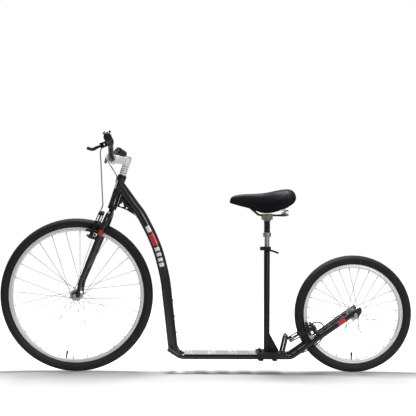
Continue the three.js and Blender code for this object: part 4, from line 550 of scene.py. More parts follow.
def rim_section(bead):
    """The rim's closed section: hooked lips, straight brake tracks with a shallow wear groove, a well for the
    bead and a narrow foot that holds the nipples."""
    side = [(6, 10.4), (6.2, 11.4), (5.6, 12), (1.5, 12), (1.1, 11.75), (0.7, 12), (-5, 12), (-5.8, 11.6),
            (-7.7, 8.8), (-8.9, 5.6), (-9.5, 2.4)]
    inside = [(5.4, 9.8), (3.4, 10), (0, 9.6), (-1.8, 8.2), (-2.4, 4), (-2.6, 1.5)]
    return np.array(side + mirrored(side) + mirrored(inside[::-1]) + inside[::-1], float) + [bead, 0]


def spoke_ends(bead, valve, hub):
    """The middle of each spoke's hole in its flange and of its nipple in the rim, and whether it leads or
    trails. The spokes take turns at the two flanges, and each lies CROSSINGS pairs of spokes round from its
    place in the rim."""
    i = np.arange(SPOKES)
    side = np.where(i % 2 == 0, -1.0, 1.0)
    lead = np.where(i % 4 < 2, 1.0, -1.0)
    step = 2 * math.pi / SPOKES
    at_rim = math.radians(valve) + (i + 0.5) * step
    at_hub = at_rim + lead * CROSSINGS * 2 * step
    heads, nipples = (
        hub + np.stack([radius * np.cos(angle), y, radius * np.sin(angle)], -1)
        for radius, angle, y in ((SPOKE_CIRCLE, at_hub, side * (FLANGE_PLACE + lead * STAGGER)),
                                 (bead - NIPPLE_INSET, at_rim, side * STAGGER)))
    return heads, nipples, lead


def laced(heads, nipples, lead):
    """Each spoke as a wire from its nipple, bent at its hole, with a round head outside the flange."""
    parts = []
    for hole, nipple, way in zip(heads, nipples, lead):
        elbow = hole + [0, way * 1.4, 0]
        parts.append(skin(swept(bent([elbow, hole, nipple], 1.0, 3), SPOKE_RADIUS, 8)))
        parts.append(rod(elbow, elbow + [0, way * 1.1, 0], 1.9, 10))
    return several(parts)


def hub_shell(spacing):
    """The hub's outline from its end over a flange to its middle, and the same mirrored."""
    end = spacing / 2 - 4.4
    half = [(4.9, end), (9.5, end), (9.9, end - 1), (10.2, end - 5), (11, 38.4), (14, 35.4), (22.4, 34.9),
            (23, 34.3), (23, 31.9), (22.4, 31.3), (15, 30.6), (11.6, 27.5), (11, 22), (10.4, 10)]
    return half + mirrored(half)


def wheel(prefix, hub, bead, valve, pitches, spacing):
    """A wheel's tyre, rim, valve, hub, spokes and nipples, with its valve at an angle in degrees."""
    points, *faces = tyre(bead, pitches)
    rim, shell = lathe(rim_section(bead), hub, sides=192), lathe(hub_shell(spacing), hub, sides=48)
    heads, nipples, lead = spoke_ends(bead, valve, hub)
    inward = -np.array([math.cos(math.radians(valve)), 0, math.sin(math.radians(valve))])
    stem = skin(turned(VALVE, hub - inward * (bead - 10), inward, 20))
    brass = several([skin(turned(NIPPLE, nipple, head - nipple, 10)) for head, nipple in zip(heads, nipples)])
    for piece, made, material, replaces, slot, sharp in (
            ("tyre_treaded", (points + hub, *faces), tyre_rubber, ["tyre"], "tyre_rubber", 60),
            ("rim_with_tracks", rim, rim_alloy, ["rim"], "rim_alloy", 40),
            ("valve", stem, black_plastic, [], "tyre_rubber", 35),
            ("hub_shell", shell, bright_steel, [], "spoke_steel", 40),
            ("hub_laced", laced(heads, nipples, lead), spoke_steel, ["hub_and_spokes"], "spoke_steel", 40),
            ("nipples", brass, bright_steel, [], "spoke_steel", 40)):
        replaced = [f"{prefix}_{node}" for node in replaces]
        put(f"{prefix}_{piece}", made, material, f"{prefix}_wheel", replaced, sharp)


wheel("front", FRONT_AXLE, FRONT_BEAD, -99.2, 112, 100)
wheel("rear", REAR_AXLE, REAR_BEAD, -91.7, 86, 116)
dress("front_axle", bright_steel, "steering")
dress("rear_axle", bright_steel, "frame")

# The bar's middle is held by the stem's front cap, ahead of the steerer
BAR = steered([-62, 0, STEM_FOOT + 6])
CROWN_DEPTH, BEND_DEPTH, LEG_TRACK, TIP_TRACK = 23, 85, 50, 52.5
LEG_RADIUS, LEG_TAPER, DROPOUT = 12, 4.5, 5


def near_axle(back, up, y):
    """A place in the steering frame from its distances behind and above the front axle."""
    cos, sin = math.cos(TILT), math.sin(TILT)
    return np.array([back * cos - up * sin - FORK_RAKE, y, back * sin + up * cos - FORK_LENGTH])


def fork_line(side):
    """A leg's centre line and radii: a quadratic bend from the steerer's foot, a straight and a bend at the
    ankle. The radius shrinks evenly between the two bends."""
    ankle, foot = near_axle(17, 44, side * TIP_TRACK), near_axle(14.8, 0, side * TIP_TRACK)
    slope = ankle[0] / (-ankle[2] - CROWN_DEPTH)
    knee = np.array([slope * (BEND_DEPTH - CROWN_DEPTH), side * LEG_TRACK, -BEND_DEPTH])
    start, corner = np.array([0, side * 5.75, -CROWN_DEPTH]), np.array([0, side * LEG_TRACK, -29])
    straight = np.linspace(knee, ankle, 14)
    ending = quadratic(straight[-2], ankle, foot, 12)
    path = np.vstack([quadratic(start, corner, knee, 16)[:-1], straight[:-1], ending])
    share = (-path[:, 2] - BEND_DEPTH) / (-ankle[2] - BEND_DEPTH)
    return path, LEG_RADIUS - LEG_TAPER * np.clip(share, 0, 1)


def brake_frame(pivots, turn):
    """A brake's own frame, between its two pivots and turned about Y: its origin, its x and its z."""
    return pivots, (math.cos(turn), 0, -math.sin(turn)), (math.sin(turn), 0, math.cos(turn))


def front_brake_frame():
    """The front pivots lie behind the line from the fork's crown to the axle, and the brake leans with it."""
    lean = math.atan(FORK_RAKE / (FORK_LENGTH - CROWN_DEPTH))
    radius = FRONT_BEAD + RIM_LIP - PAD_INSET - PIVOT_DROP
    direction = lean - math.asin(34.8 / radius)
    pivots = [-FORK_RAKE + radius * math.sin(direction), 0, -FORK_LENGTH + radius * math.cos(direction)]
    return brake_frame(steered(pivots), TILT + lean)


def rear_brake_frame():
    """The rear pivots lie 198.1 degrees round from the axle's front, and the arms point at 209.4 degrees."""
    radius = REAR_BEAD + RIM_LIP - PAD_INSET - PIVOT_DROP
    angle = math.radians(198.1)
    pivots = REAR_AXLE + [radius * math.cos(angle), 0, radius * math.sin(angle)]
    return brake_frame(pivots, math.pi / 2 - math.radians(209.4))


def brake_post(own_frame, way, root, side):
    """The post that a brake arm turns on, its thicker root behind the arm and the bolt's head before it,
    along the frame's x. The root lies that way along x."""
    parts = ((-13, root, 5), (8.3, root, 7), (-16.5, -12.5, 6.2))
    return [rod(*placed([[way * at, side * POST_TRACK, 0] for at in ends], *own_frame), radius)
            for *ends, radius in parts]


def fork_leg(name, side):
    """A tube that leaves the steerer's foot, bends down past the tyre, runs straight to an ankle while it
    tapers, and ends upright behind the axle on its tab."""
    tube = skin(steered(swept(*fork_line(side), 32)))
    tab = [(-12.6, -8.4), (-5.2, -8.4), (-5.2, 0), (-3.7, 3.7), (0, 5.2), (3.7, 3.7), (5.2, 0), (5.2, -8.4),
           (18.6, -8.4), (21.6, 9), (9, 18), (-6, 13.5), (-12.6, 6)]
    outline = [near_axle(back, up, 0)[[0, 2]] for back, up in tab]
    points, *faces = plate(outline, DROPOUT, side * TIP_TRACK)
    made = several([tube, (steered(points), *faces), *brake_post(front_brake_frame(), 1, 34.8, side)])
    put(f"fork_leg_smooth_{name}", made, gloss_black, "steering", [f"fork_leg_{name}"],
        bevel=0.5)


for name, side in SIDES:
    fork_leg(name, side)

HEAD_TUBE = [(14, HEAD_FOOT), (18.6, HEAD_FOOT), (18.6, 14), (17.8, 16), (17.8, 118), (18.6, 120),
             (18.6, HEAD_TOP), (14, HEAD_TOP)]
CUP = np.array([(12.2, 0), (16.4, 0), (18.2, 1.4), (19, 4), (19, 6.6), (17.9, 7.2), (17.9, 8.2), (18.8, 8.8),
                (18.8, 15.4), (18, 17), (12.2, 17)])
put("head_tube_turned", lathe(HEAD_TUBE, HEAD, UP), gloss_black, "frame", ["head_tube"])
for node, cup in (("headset_lower_cup", CUP + [0, -8.5]),
                  ("headset_upper_cup", CUP[::-1] * [1, -1] + [0, 142.1])):
    put(f"{node}_turned", lathe(cup, HEAD, UP), satin_black, "frame", [node])


def rings(profile, lows):
    """A closed profile turned round the steerer, once from each of the lows up."""
    return several([lathe(profile + np.array([0, low]), HEAD, UP, 48) for low in lows])


def steerer_and_cap():
    """The steerer's tube, and over the stem's top the cap's drum and its bolt's sunk head."""
    tube = lathe([(9, -36), (11.5, -36), (11.5, STEM_TOP), (9, STEM_TOP)], HEAD, UP, 40)
    cap = [(11.4, -2), (11.4, 0.3), (14.2, 0.3), (15, 1), (15, 3.4), (14, 4.3), (6.4, 4.3), (6, 3)]
    bolt = [(5, 2), (5, 5.6), (4.2, 6.3), (2.6, 6.3), (2.5, 4)]
    top = HEAD + STEM_TOP * UP
    return several([tube, skin(turned(cap, top, UP, 48)), skin(turned(bolt, top, UP, 24))])


put("spacer_rings", rings([(11.9, 0.1), (13.9, 0.1), (14.5, 0.7), (14.5, 8.6), (13.9, 9.2), (11.9, 9.2)],
                          SPACERS_FOOT + SPACER * np.arange(5)),
    white_alloy, "steering", ["stem_spacers"])
# Thin black rings at the four joins between the pale spacers: painted shade, standing in for the shadow in the
# gaps between the rings.
put("spacer_joins_painted_shade", rings([(12.5, -0.9), (14.8, -0.9), (14.8, 0.9), (12.5, 0.9)],
                          SPACERS_FOOT + SPACER * np.arange(1, 5)),
    satin_black, "steering", ())
put("steerer_and_cap", steerer_and_cap(), satin_black, "steering", ["fork_steerer"])
dress("stem", white_alloy, "steering", bevel=1.6)


def face_bolts():
    """Four socket bolts at the corners of the stem's front cap: domed drums with a sunk round socket."""
    profile = [(3.6, -4), (3.6, 3.2), (3.1, 3.9), (2.2, 4), (1.9, 2)]
    front = np.array([-math.cos(TILT), 0, math.sin(TILT)])
    feet = [BAR + front * 12.5 + [0, y, 0] + UP * z for y in (-16.5, 16.5) for z in (-15, 15)]
    return several([skin(turned(profile, foot, front, 18)) for foot in feet])


put("stem_face_bolts", face_bolts(), bright_steel, "steering", ())

# The bar's corners: the distance out, and the shares of its sweep and rise
BAR_CORNERS = [(33, 0, 0), (108.7, 0.3, 0.94), (296, 1, 1)]
BAR_SWEEP, BAR_RISE, BAR_END, GRIP_LENGTH = 16, 54, 300.3, 125
LEVER_PLACE, LEVER_REACH, LEVER_TILT = 153, 34, math.radians(22)


def bar_point(side, shares):
    """A corner of the bar from its shares."""
    out, sweep, rise = shares
    return np.array([BAR_SWEEP * sweep, side * out, BAR_RISE * rise]) + BAR


def bar_at(side, place):
    """A place on the line of the bar's outer run, by its distance from the middle."""
    start, end = bar_point(side, BAR_CORNERS[1]), bar_point(side, BAR_CORNERS[2])
    return start + (end - start) * (place - abs(start[1])) / (abs(end[1]) - abs(start[1]))


def bar_tube():
    """A tube through the bar's bends, its radius swelling to the clamp's over the middle 66 mm."""
    corners = [bar_point(-1, s) for s in BAR_CORNERS[::-1]] + [bar_point(1, s) for s in BAR_CORNERS]
    path = evenly(bent(corners, 20, 10), 4)
    out = np.abs(path[:, 1])
    return skin(swept(path, 11.1 + 1.6 * np.clip((38 - out) / 6, 0, 1), 32))


put("bar_tube", bar_tube(), gloss_black, "steering", ["handlebar"])


def grip(side):
    """A sleeve with a flange: ribs run round it, its radius rising and falling by a sine to a power, with a
    smooth band by the flange and a domed end."""
    start, end = bar_at(side, BAR_END - GRIP_LENGTH), bar_at(side, BAR_END)
    along = unit(end - start)
    length = np.linalg.norm(end - start)
    h = np.linspace(9, length - 6, 150)
    rib = 0.85 * np.abs(np.sin((h - 9) * math.pi / 3.6)) ** 0.5
    middle = np.clip(np.minimum(h - 12, length - 12 - h) / 3, 0, 1)
    body = np.column_stack([15.1 + rib * middle, h])
    head = [(11.4, 0), (16.6, 0), (17.4, 0.8), (17.4, 4.2), (16.6, 5), (15.6, 5.6), (15.3, 7)]
    tail = [(16.2, 5), (15.6, 2), (14, 0.6), (11.6, 0.4), (11, 2.6), (9.4, 2.6), (8.8, 0.4), (4.2, 0.2),
            (3.6, 3.4), (0.3, 3.6)]
    tail = np.array([0, length]) + np.array(tail) * [1, -1]
    return skin(turned(np.vstack([head, body, tail]), start, along, 48))


def lever_blade(side):
    """The lever's blade: an oval section along its bent line, 10 mm thick, widest at the finger's place, with
    a ball at its tip and an eye round its pin."""
    line = [(0, 0, 0), (-18.9, 15.8, -2), (-33.3, 47.5, -9), (-41.4, 90.4, -11), (-45, 112, -9)]
    pivot, x, z = lever_frame(side)
    path = flowing([(a, side * b, c) for a, b, c in line], 8)
    share = np.linspace(0, 1, len(path))
    wide = 5.6 - 1.2 * np.sin(share * math.pi) ** 2
    along = unit(np.gradient(path, axis=0))
    sideways = np.cross(along, Z_AXIS)
    thick = 5 + 2 * np.sin(share * math.pi)
    ring = (squarish(np.cos(around(20)), 0.8) * wide[:, None, None] * sideways[:, None, :]
            + squarish(np.sin(around(20)), 0.8) * thick[:, None, None] * Z_AXIS)
    blade = skin(placed(path[:, None, :] + ring, pivot, x, z))
    turn = np.linspace(0, math.pi, 13)
    ball = np.column_stack([np.maximum(7 * np.sin(turn), 0.3), -7 * np.cos(turn)])
    tip = skin(turned(ball, placed([-45, side * 113, -9], pivot, x, z), z, 24))
    eye = lathe([(3.5, -5), (8, -5), (8, 5), (3.5, 5)], pivot, z, 32)
    return several([blade, tip, eye])


def lever_frame(side):
    """A lever's own frame at its pivot, tilted about Y: its origin, its x and its z."""
    x = np.array([math.cos(LEVER_TILT), 0, math.sin(LEVER_TILT)])
    return bar_at(side, LEVER_PLACE) - LEVER_REACH * x, x, np.array([-x[2], 0, x[0]])


for name, side in SIDES:
    put(f"grip_ribbed_{name}", grip(side), grip_rubber, "steering", [f"grip_{name}"], sharp=50)
    put(f"lever_blade_{name}", lever_blade(side), satin_black, f"brake_lever_{name}", [f"brake_lever_{name}"])
    dress(f"brake_perch_{name}", satin_black, "steering", bevel=1.2)


GONG_RADIUS = 12.1


def bell_gong():
    """A domed gong, a quarter circle turned about the vertical over the bell's stalk, with its nut."""
    dome = bar_at(-1, 134) + [-19, 0, 37]
    turn = np.linspace(0, math.pi / 2, 14)
    outer = np.column_stack([np.maximum(GONG_RADIUS * np.cos(turn), 0.4), GONG_RADIUS * np.sin(turn)])
    lip = [(GONG_RADIUS - 2.4, -1.6), (GONG_RADIUS, -1.6)]
    gong = skin(turned(np.vstack([outer[:0:-1] * 0.8, lip, outer]), dome, Z_AXIS, 48))
    nut = [(2.064, 0), (2.4, 0.256), (2.4, 1.344), (2.064, 1.6)]
    return several([gong, skin(turned(nut, dome + [0, 0, GONG_RADIUS - 0.3], Z_AXIS, 6))])


dress("bell", satin_black, "steering", bevel=0.4)
put("bell_gong", bell_gong(), bright_steel, "steering", ())
dress("bell_hammer", satin_black, "bell_hammer", bevel=0.3)

CROSS_X, CROSS_Z = -137.0, 88.0
MAIN_RADIUS = 21.0
MAIN_SHARES = [(0, 0), (0.14, 0.062), (0.281, 0.126), (0.385, 0.171), (0.506, 0.243), (0.597, 0.303),
               (0.71, 0.394), (0.789, 0.485), (0.85, 0.576), (0.895, 0.697), (0.937, 0.818), (0.979, 0.939),
               (1, 1)]


def main_path():
    """The main tube's curve from the head to the cross tube, through the drawn shares of its reach and drop."""
    top = HEAD + 100 * UP
    reach = np.array([CROSS_X - top[0], 0, CROSS_Z - top[2]])
    return evenly(flowing([top + reach * [ahead, 0, down] for ahead, down in MAIN_SHARES], 10), 4)


def main_tube_made():
    """The tube along its curve, and three cable bosses on its rear side."""
    path = main_path()
    parts = [skin(swept(path, MAIN_RADIUS, 40))]
    along = unit(np.gradient(path, axis=0))
    for share in (0.72, 0.81, 0.9):
        i = int(share * (len(path) - 1))
        back = np.array([-along[i, 2], 0, along[i, 0]])
        parts.append(rod(path[i] + back * 19, path[i] + back * 24, 4, 20))
    return several(parts)


def weld(path_points, bead):
    """A weld: a bead along a closed line whose radius swells and shrinks by a sine every four places."""
    path = evenly(np.vstack([path_points, path_points[:1]]), 0.9)[:-1]
    wave = 1 + 0.16 * np.sin(np.arange(len(path)) * 2 * math.pi / 4)
    first = unit(path - path.mean(axis=0))
    along = unit(np.roll(path, -1, axis=0) - np.roll(path, 1, axis=0))
    second = np.cross(along, first)
    ring = circle(around(8), first[:, None, :], second[:, None, :])
    return skin(path[:, None, :] + (bead * wave)[:, None, None] * ring, closed_rows=True)


put("main_tube_smooth", main_tube_made(), gloss_black, "frame", ["main_tube"])
dress("head_gusset", gloss_black, "frame", bevel=0.9)
put("cross_tube_smooth", skin(turned([(11, -42), (11, 42)], (CROSS_X, 0, CROSS_Z), Y_AXIS, 32)),
    gloss_black, "frame", ["front_cross_tube"])


def rail_path(side):
    """A deck rail's line: down from the cross tube, level under the deck, and up and out to the rear axle."""
    corners = [(-157, side * RAIL_TRACK, RAIL_HEIGHT + 34), (-104, side * RAIL_TRACK, RAIL_HEIGHT),
               (359, side * RAIL_TRACK, RAIL_HEIGHT), (452, side * RAIL_TRACK, RAIL_HEIGHT + STAY_RISE / 3),
               (638, side * STAY_TRACK, RAIL_HEIGHT + STAY_RISE)]
    return evenly(bent(corners, 15, 10), 5)


def rail_made(side):
    """The rail's tube, slimmer at the stay's end, the dropout plate that holds the axle, and a brake's post."""
    path = rail_path(side)
    tube = skin(swept(path, RAIL_RADIUS - 1.6 * np.clip((path[:, 0] - 590) / 46, 0, 1), 32))
    shares = [(-0.6, -0.2), (-0.3, -0.24), (-0.13, -0.24), (-0.13, 0), (-0.09, 0.09), (0, 0.13), (0.09, 0.09),
              (0.13, 0), (0.13, -0.24), (0.32, -0.24), (0.5, 0.05), (0.68, 0.5), (0.5, 0.82), (0.1, 0.62),
              (-0.7, 0.05)]
    drop = plate(np.array(shares) * 40 + [REAR_AXLE[0], REAR_AXLE[2]], DROPOUT, side * STAY_TRACK)
    return several([tube, drop, *brake_post(rear_brake_frame(), -1, 41, side)])


for name, side in SIDES:
    put(f"deck_rail_smooth_{name}", rail_made(side), gloss_black, "frame", [f"deck_rail_{name}"],
        bevel=0.4)


def hoop_made():
    """The heel hoop: a round bar up from one rail, over the deck and down to the other."""
    top = RAIL_HEIGHT + 76 + RAIL_RADIUS
    corners = [(320, -RAIL_TRACK, RAIL_HEIGHT), (340, -RAIL_TRACK, top), (340, RAIL_TRACK, top),
               (320, RAIL_TRACK, RAIL_HEIGHT)]
    path = evenly(bent(corners, 22, 12), 3)
    return skin(swept(path[3:-3], 6, 28))


put("heel_hoop_smooth", hoop_made(), gloss_black, "frame", ["heel_hoop"])
dress("deck_plate", deck_grip, "frame", bevel=0.5)


def slot_lips():
    """A raised lip round each of the deck's sixteen slots, which lie in four groups of two by two: a thin
    tube through the slot's rounded corners."""
    turn = np.linspace(0, 2 * math.pi, 48, endpoint=False)
    along, aside = 6.3 * squarish(np.cos(turn), 0.5), 16.6 * squarish(np.sin(turn), 0.5)
    high = np.full(48, DECK_TOP + 0.3)
    middles = [(-63 + 89 * group + 8.5 * end, 24 * row)
               for group in range(4) for end in (-1, 1) for row in (-1, 1)]
    return several([weld(np.stack([x + along, y + aside, high], 1), 1.4) for x, y in middles])


put("deck_slot_lips", slot_lips(), white_alloy, "frame", (), sharp=60)
dress("seat_foot_plate", satin_black, "frame", bevel=0.8)
for node in ("seat_clamp_front", "seat_clamp_rear"):
    dress(node, satin_black, "frame", bevel=0.5)

# Places in the brakes' own frames
FRONT_NOODLE = [(0, -47.6, ARM_LENGTH), (0.2, -54, 112.6), (0.6, -57.6, 118), (0.8, -58, 129.4)]
REAR_NOODLE = [(0, -47.6, ARM_LENGTH), (0.5, -55, 111), (2.5, -59, 103), (6, -59, 92)]


def noodle(frame_of, route):
    """The bent pipe with a ferrule at each end, the bare wire across to the other arm and a rubber boot whose
    radius rises and falls in five bellows."""
    path = placed(flowing(route, 14), *frame_of)
    ends = placed([[0, -47, ARM_LENGTH], [0, 55.5, ARM_LENGTH]], *frame_of)
    bolt = placed([[-6, 46.5, ARM_LENGTH], [6, 46.5, ARM_LENGTH]], *frame_of)
    h = np.linspace(-17, 17, 80)
    boot = np.column_stack([3.6 + 0.9 * np.abs(np.sin((h + 17) * math.pi / 6.8)), h])
    boot = turned([(1.2, -17), *boot, (1.2, 17)], placed([0, 0, ARM_LENGTH], *frame_of), Y_AXIS, 24)
    return several([skin(swept(path, 2.4, 18)), rod(path[0], path[6], 3.1, 16),
                    rod(path[-12], path[-1], 3.1, 16), rod(*ends, 1.1, 10), skin(boot), rod(*bolt, 2.6, 14)])


for prefix, frame_of, route, body in (("front", front_brake_frame(), FRONT_NOODLE, "steering"),
                                      ("rear", rear_brake_frame(), REAR_NOODLE, "frame")):
    put(f"{prefix}_noodle_bent", noodle(frame_of, route), bright_steel, body, [f"{prefix}_brake_noodle"])
    for name, side in SIDES:
        dress(f"{prefix}_brake_arm_{name}", satin_black, f"{prefix}_brake_{name}", bevel=0.9)
        dress(f"{prefix}_brake_pad_{name}", black_plastic, f"{prefix}_brake_{name}", bevel=0.9)

# The front cable's places are from the bar's middle, the upper rear one's in the fork's frame
FRONT_CABLE = [
    (-26.55, -128.55, 38.79), (-26.7, -123.5, 38.6), (-30, -118, 33.5), (-36, -112.5, 14), (-34.8, -104, -22),
    (-33.4, -84, -106), (-32.2, -66, -178), (-32.1, -59.6, -197.4), (-33.8, -58.2, -204.2),
    (-35.98, -58.02, -209.09),
]
REAR_CABLE_UPPER = [
    (-98.99, 128.55, 224.21), (-99.2, 123.5, 224.1), (-103, 114, 217), (-103, 102, 200), (-86, 78, 182),
    (-64, 54, 165), (-44, 36, 150), (-30, 28, 138), (-23, 25.4, 127), (-22, 25.2, 117.7),
]
REAR_CABLE_LOWER = [
    (-383.2, 25.2, 812.4), (-384.5, 25.2, 806), (-381, 24.8, 790), (-366, 24.6, 768), (-340, 24.4, 748),
    (-305, 24.4, 704), (-279, 24.4, 669), (-250, 24.4, 619), (-220, 24.4, 555), (-203, 24.4, 510),
    (-185, 24.4, 450), (-171, 24.4, 386), (-161, 24.4, 301), (-151, 24.4, 216), (-143, 24.4, 160),
    (-134, 24.4, 126), (-119, 24.4, 103), (-109, 23, 83), (-97, 22, 77.4), (-84, 21, 76.8), (60, 20, 77.2),
    (200, 20, 77.2), (290, 18, 77.2), (342, 4, 76), (385, -18, 79), (415, -29, 88), (446, -33, 107),
    (484, -34, 138), (497, -34, 170), (493, -36, 200), (476, -44, 214), (450, -54, 213), (420, -60, 196),
    (390, -60, 171), (374.9, -59.1, 156.3), (370.8, -59, 151.95),
]


def cable(route):
    """A covered cable along its route with a ferrule a little thicker than it at each end."""
    path = evenly(flowing(route, 16), 2.5)
    return several([skin(swept(part, radius, 16))
                    for part, radius in ((path, 2.5), (path[:5], 2.9), (path[-5:], 2.9))])


put("front_cable_cover", cable(np.array(FRONT_CABLE) + BAR), cable_grey, "steering", ["front_brake_cable"])
put("rear_cable_cover_upper", cable(steered(REAR_CABLE_UPPER)), cable_grey, "steering",
    ["rear_brake_cable_upper"])
# The rear cable's lower run takes black plastic rather than the grey of its cover above: painted shade, for
# this run lies in shadow along the frame.
put("rear_cable_lower_painted_shade", cable(REAR_CABLE_LOWER), black_plastic, "frame", ["rear_brake_cable_lower"])

SEAT_X = 259.0
SEAT = np.array([SEAT_X, 0, 0])
FOOT_TOP, TUBE_TOP = 87.6, 530
POST_OUTER = [(8.4, 300), (10.4, 300), (10.4, 570), (16.2, 571.4), (17, 572.4), (17, 576), (16.4, 576.6),
              (16.4, 577.8), (17, 578.4), (17, 588.6), (16, 590), (8.4, 590)]


def seat_tube_made():
    """A straight tube on its foot, with a weld round it and the web behind it."""
    low = FOOT_TOP + 0.3
    outline = [(10.8, low), (12.7, low), (12.7, TUBE_TOP - 1), (12.3, TUBE_TOP), (10.8, TUBE_TOP)]
    tube = lathe(outline, SEAT, Z_AXIS, 48)
    web = plate([(270, low), (309.7, low), (309.7, FOOT_TOP + 4), (274, FOOT_TOP + 70),
                 (271.7, FOOT_TOP + 72.3), (270, FOOT_TOP + 72.3)], 4, 0)
    turn = np.linspace(0, 2 * math.pi, 60, endpoint=False)
    foot = np.stack([SEAT_X + 13.4 * np.cos(turn), 13.4 * np.sin(turn), np.full(60, FOOT_TOP + 1.6)], 1)
    return several([tube, web, weld(foot, 1.5)])


put("seat_tube_turned", seat_tube_made(), satin_black, "frame", ["seat_tube"], bevel=0.4)
dress("seat_collar", satin_black, "frame", bevel=0.7)
dress("seat_collar_lever", satin_black, "collar_lever", bevel=0.6)
put("post_outer_turned", lathe(POST_OUTER, SEAT, Z_AXIS, 56), post_steel, "seatpost_outer",
    ["seatpost_outer"])

BOOT_LOW, BOOT_HIGH, SINK = 590.4, 637.8, 30.0


def boot_made():
    """A bellows of six ribs between the post's head and the cradle, its radius a rounded wave."""
    h = np.linspace(0, 1, 110)
    wave = 11 + 2.4 * np.abs(np.sin(h * 6 * math.pi)) ** 0.7
    outer = np.column_stack([wave, BOOT_LOW + h * (BOOT_HIGH - BOOT_LOW)])
    return lathe(np.vstack([[(8.6, BOOT_LOW)], outer, [(8.6, BOOT_HIGH)]]), SEAT, Z_AXIS, 40)


boot = put("boot_bellows", boot_made(), grip_rubber, "seatpost_outer", ["seatpost_boot"],
           sharp=50)
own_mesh(boot)
dress("seatpost_shaft", seat_steel, "seatpost_shaft", bevel=1.5)
dress("saddle_clamp", seat_steel, "saddle", bevel=1.6)

RAIL_Z, EAR_Y = 662.5, 20.9
SPRING_X, SPRING_Y, BASE_WALL = 334, 44, 4
NOSE_X, SADDLE_LENGTH, HALF_WIDTH, SADDLE_TOP, SADDLE_DEPTH = 100.7, 274.7, 96.0, 773.4, 100.0
SADDLE_SHARES = np.array([
    (0, .1, .5, .58, .58), (.02, .17, .36, .6, .6), (.07, .21, .28, .64, .64), (.16, .24, .225, .7, .71),
    (.28, .27, .205, .76, .79), (.4, .34, .19, .82, .9), (.5, .48, .17, .88, .99), (.6, .69, .12, .88, 1),
    (.7, .88, .06, .86, .96), (.8, .98, .015, .8, .88), (.88, 1, 0, .72, .77), (.94, .95, .04, .64, .66),
    (.98, .8, .14, .54, .53), (1, .6, .26, .44, .43),
])
CROWN = np.array([(0, 0), (.3, .02), (.55, .07), (.78, .2), (.92, .42), (1, .7), (.97, 1)])


def stations(count):
    """The saddle's stations between the drawn ones: x, half width, top, and the drops to the base and to the
    skirt's edge, as a smooth curve of the shares."""
    along, wide, high, start, base, edge = np.hstack(
        [flowing(SADDLE_SHARES[:, first:first + 3], count) for first in (0, 2)]).T
    return (NOSE_X + SADDLE_LENGTH * along, HALF_WIDTH * wide, SADDLE_TOP - SADDLE_DEPTH * high,
            SADDLE_DEPTH * (base - start), SADDLE_DEPTH * (edge - start))


def base_height(at):
    """The height of the saddle base's underside at a place along the saddle."""
    x, _, top, drop, _ = stations(1)
    return np.interp(at, x, top - drop * 0.56 - 0.3 - BASE_WALL)


def cushion():
    """The cover's closed skin: stations along the saddle carry a crown whose height falls as the share of the
    width grows, and then turn under its lower edge."""
    x, half, top, drop, skirt = stations(12)
    crown = flowing(np.column_stack([CROWN, np.zeros(len(CROWN))]), 7)[:, :2]
    under = [(0.93, 1.0), (0.84, 0.96), (0.74, 0.78), (0.66, 0.56), (0.4, 0.55), (0.2, 0.55), (0, 0.55)]
    right = np.vstack([crown, under])
    both = np.vstack([right, (right * [-1, 1])[-2:0:-1]])
    deep = np.clip((both[None, :, 1] - 0.55) / 0.4, 0, 1)
    y = half[:, None] * both[None, :, 0]
    z = top[:, None] - (drop[:, None] * (1 - deep) + skirt[:, None] * deep) * both[None, :, 1]
    dish = 2.2 * np.exp(-(y / 16) ** 2) * np.clip((half[:, None] - 50) / 40, 0, 1) * (both[None, :, 1] < 0.5)
    grid = np.stack([np.repeat(x[:, None], len(both), 1), y, z - dish], -1)
    return skin(grid)


SEAM = np.array([(118, 0), (125, .05), (150, .12), (190, .1), (225, .135), (250, .22), (277, .31), (300, .37),
                 (314, .385), (330, .3), (342, .19), (349, .11), (354, .05), (357, 0)])


def seam_piping():
    """A thin piped seam round the saddle's top panel: the drawn share of the drop at each place along it, and
    the width where the crown has dropped by that share."""
    line = evenly(flowing(np.column_stack([SEAM[:, 0], SEAM[:, 1] * 100, np.zeros(len(SEAM))]), 8), 1.0)
    x, half, top, drop, _ = stations(12)
    share = line[:, 1] / 100
    wide = np.interp(line[:, 0], x, half) * np.interp(share, CROWN[:6, 1], CROWN[:6, 0])
    high = np.interp(line[:, 0], x, top) - np.interp(line[:, 0], x, drop) * share
    side = np.column_stack([line[:, 0], wide, high])
    loop = np.vstack([side, (side * [1, -1, 1])[-2:0:-1]])
    return weld(loop, 0.9)


saddle_piece = put("saddle_cushion", cushion(), saddle_vinyl, "saddle", ["saddle_cover"],
                   sharp=70)
put("saddle_seam", seam_piping(), saddle_piping, "saddle", (), sharp=70)
dress("saddle_base", black_plastic, "saddle", bevel=0.8)


def rails_made():
    """Two wires from the nose's socket through the clamp and out to the bar under the springs, with that bar
    and its two round seats."""
    front_z = base_height(165) - 3.5 - 0.3 - 2
    parts = []
    for _, side in SIDES:
        corners = [(165, side * 12, front_z), (SEAT_X - 22 - 12, side * EAR_Y, RAIL_Z),
                   (298, side * EAR_Y, RAIL_Z), (SPRING_X, side * SPRING_Y, RAIL_Z)]
        parts.append(skin(swept(evenly(bent(corners, 12, 10), 3), 3.5, 20)))
        seat = [(SPRING_X, side * SPRING_Y, RAIL_Z + up) for up in (-3, 2)]
        parts.append(rod(*seat, 12, 40))
    parts.append(rod((165, -15, front_z), (165, 15, front_z), 5.5, 24))
    bar = [(SPRING_X + x, RAIL_Z + z) for x, z in ((-6, -2), (6, -2), (6, 2), (-6, 2))]
    return several([*parts, plate(bar, 106, 0)])


put("saddle_rails_bent", rails_made(), satin_black, "saddle", ["saddle_rails"], bevel=0.4)


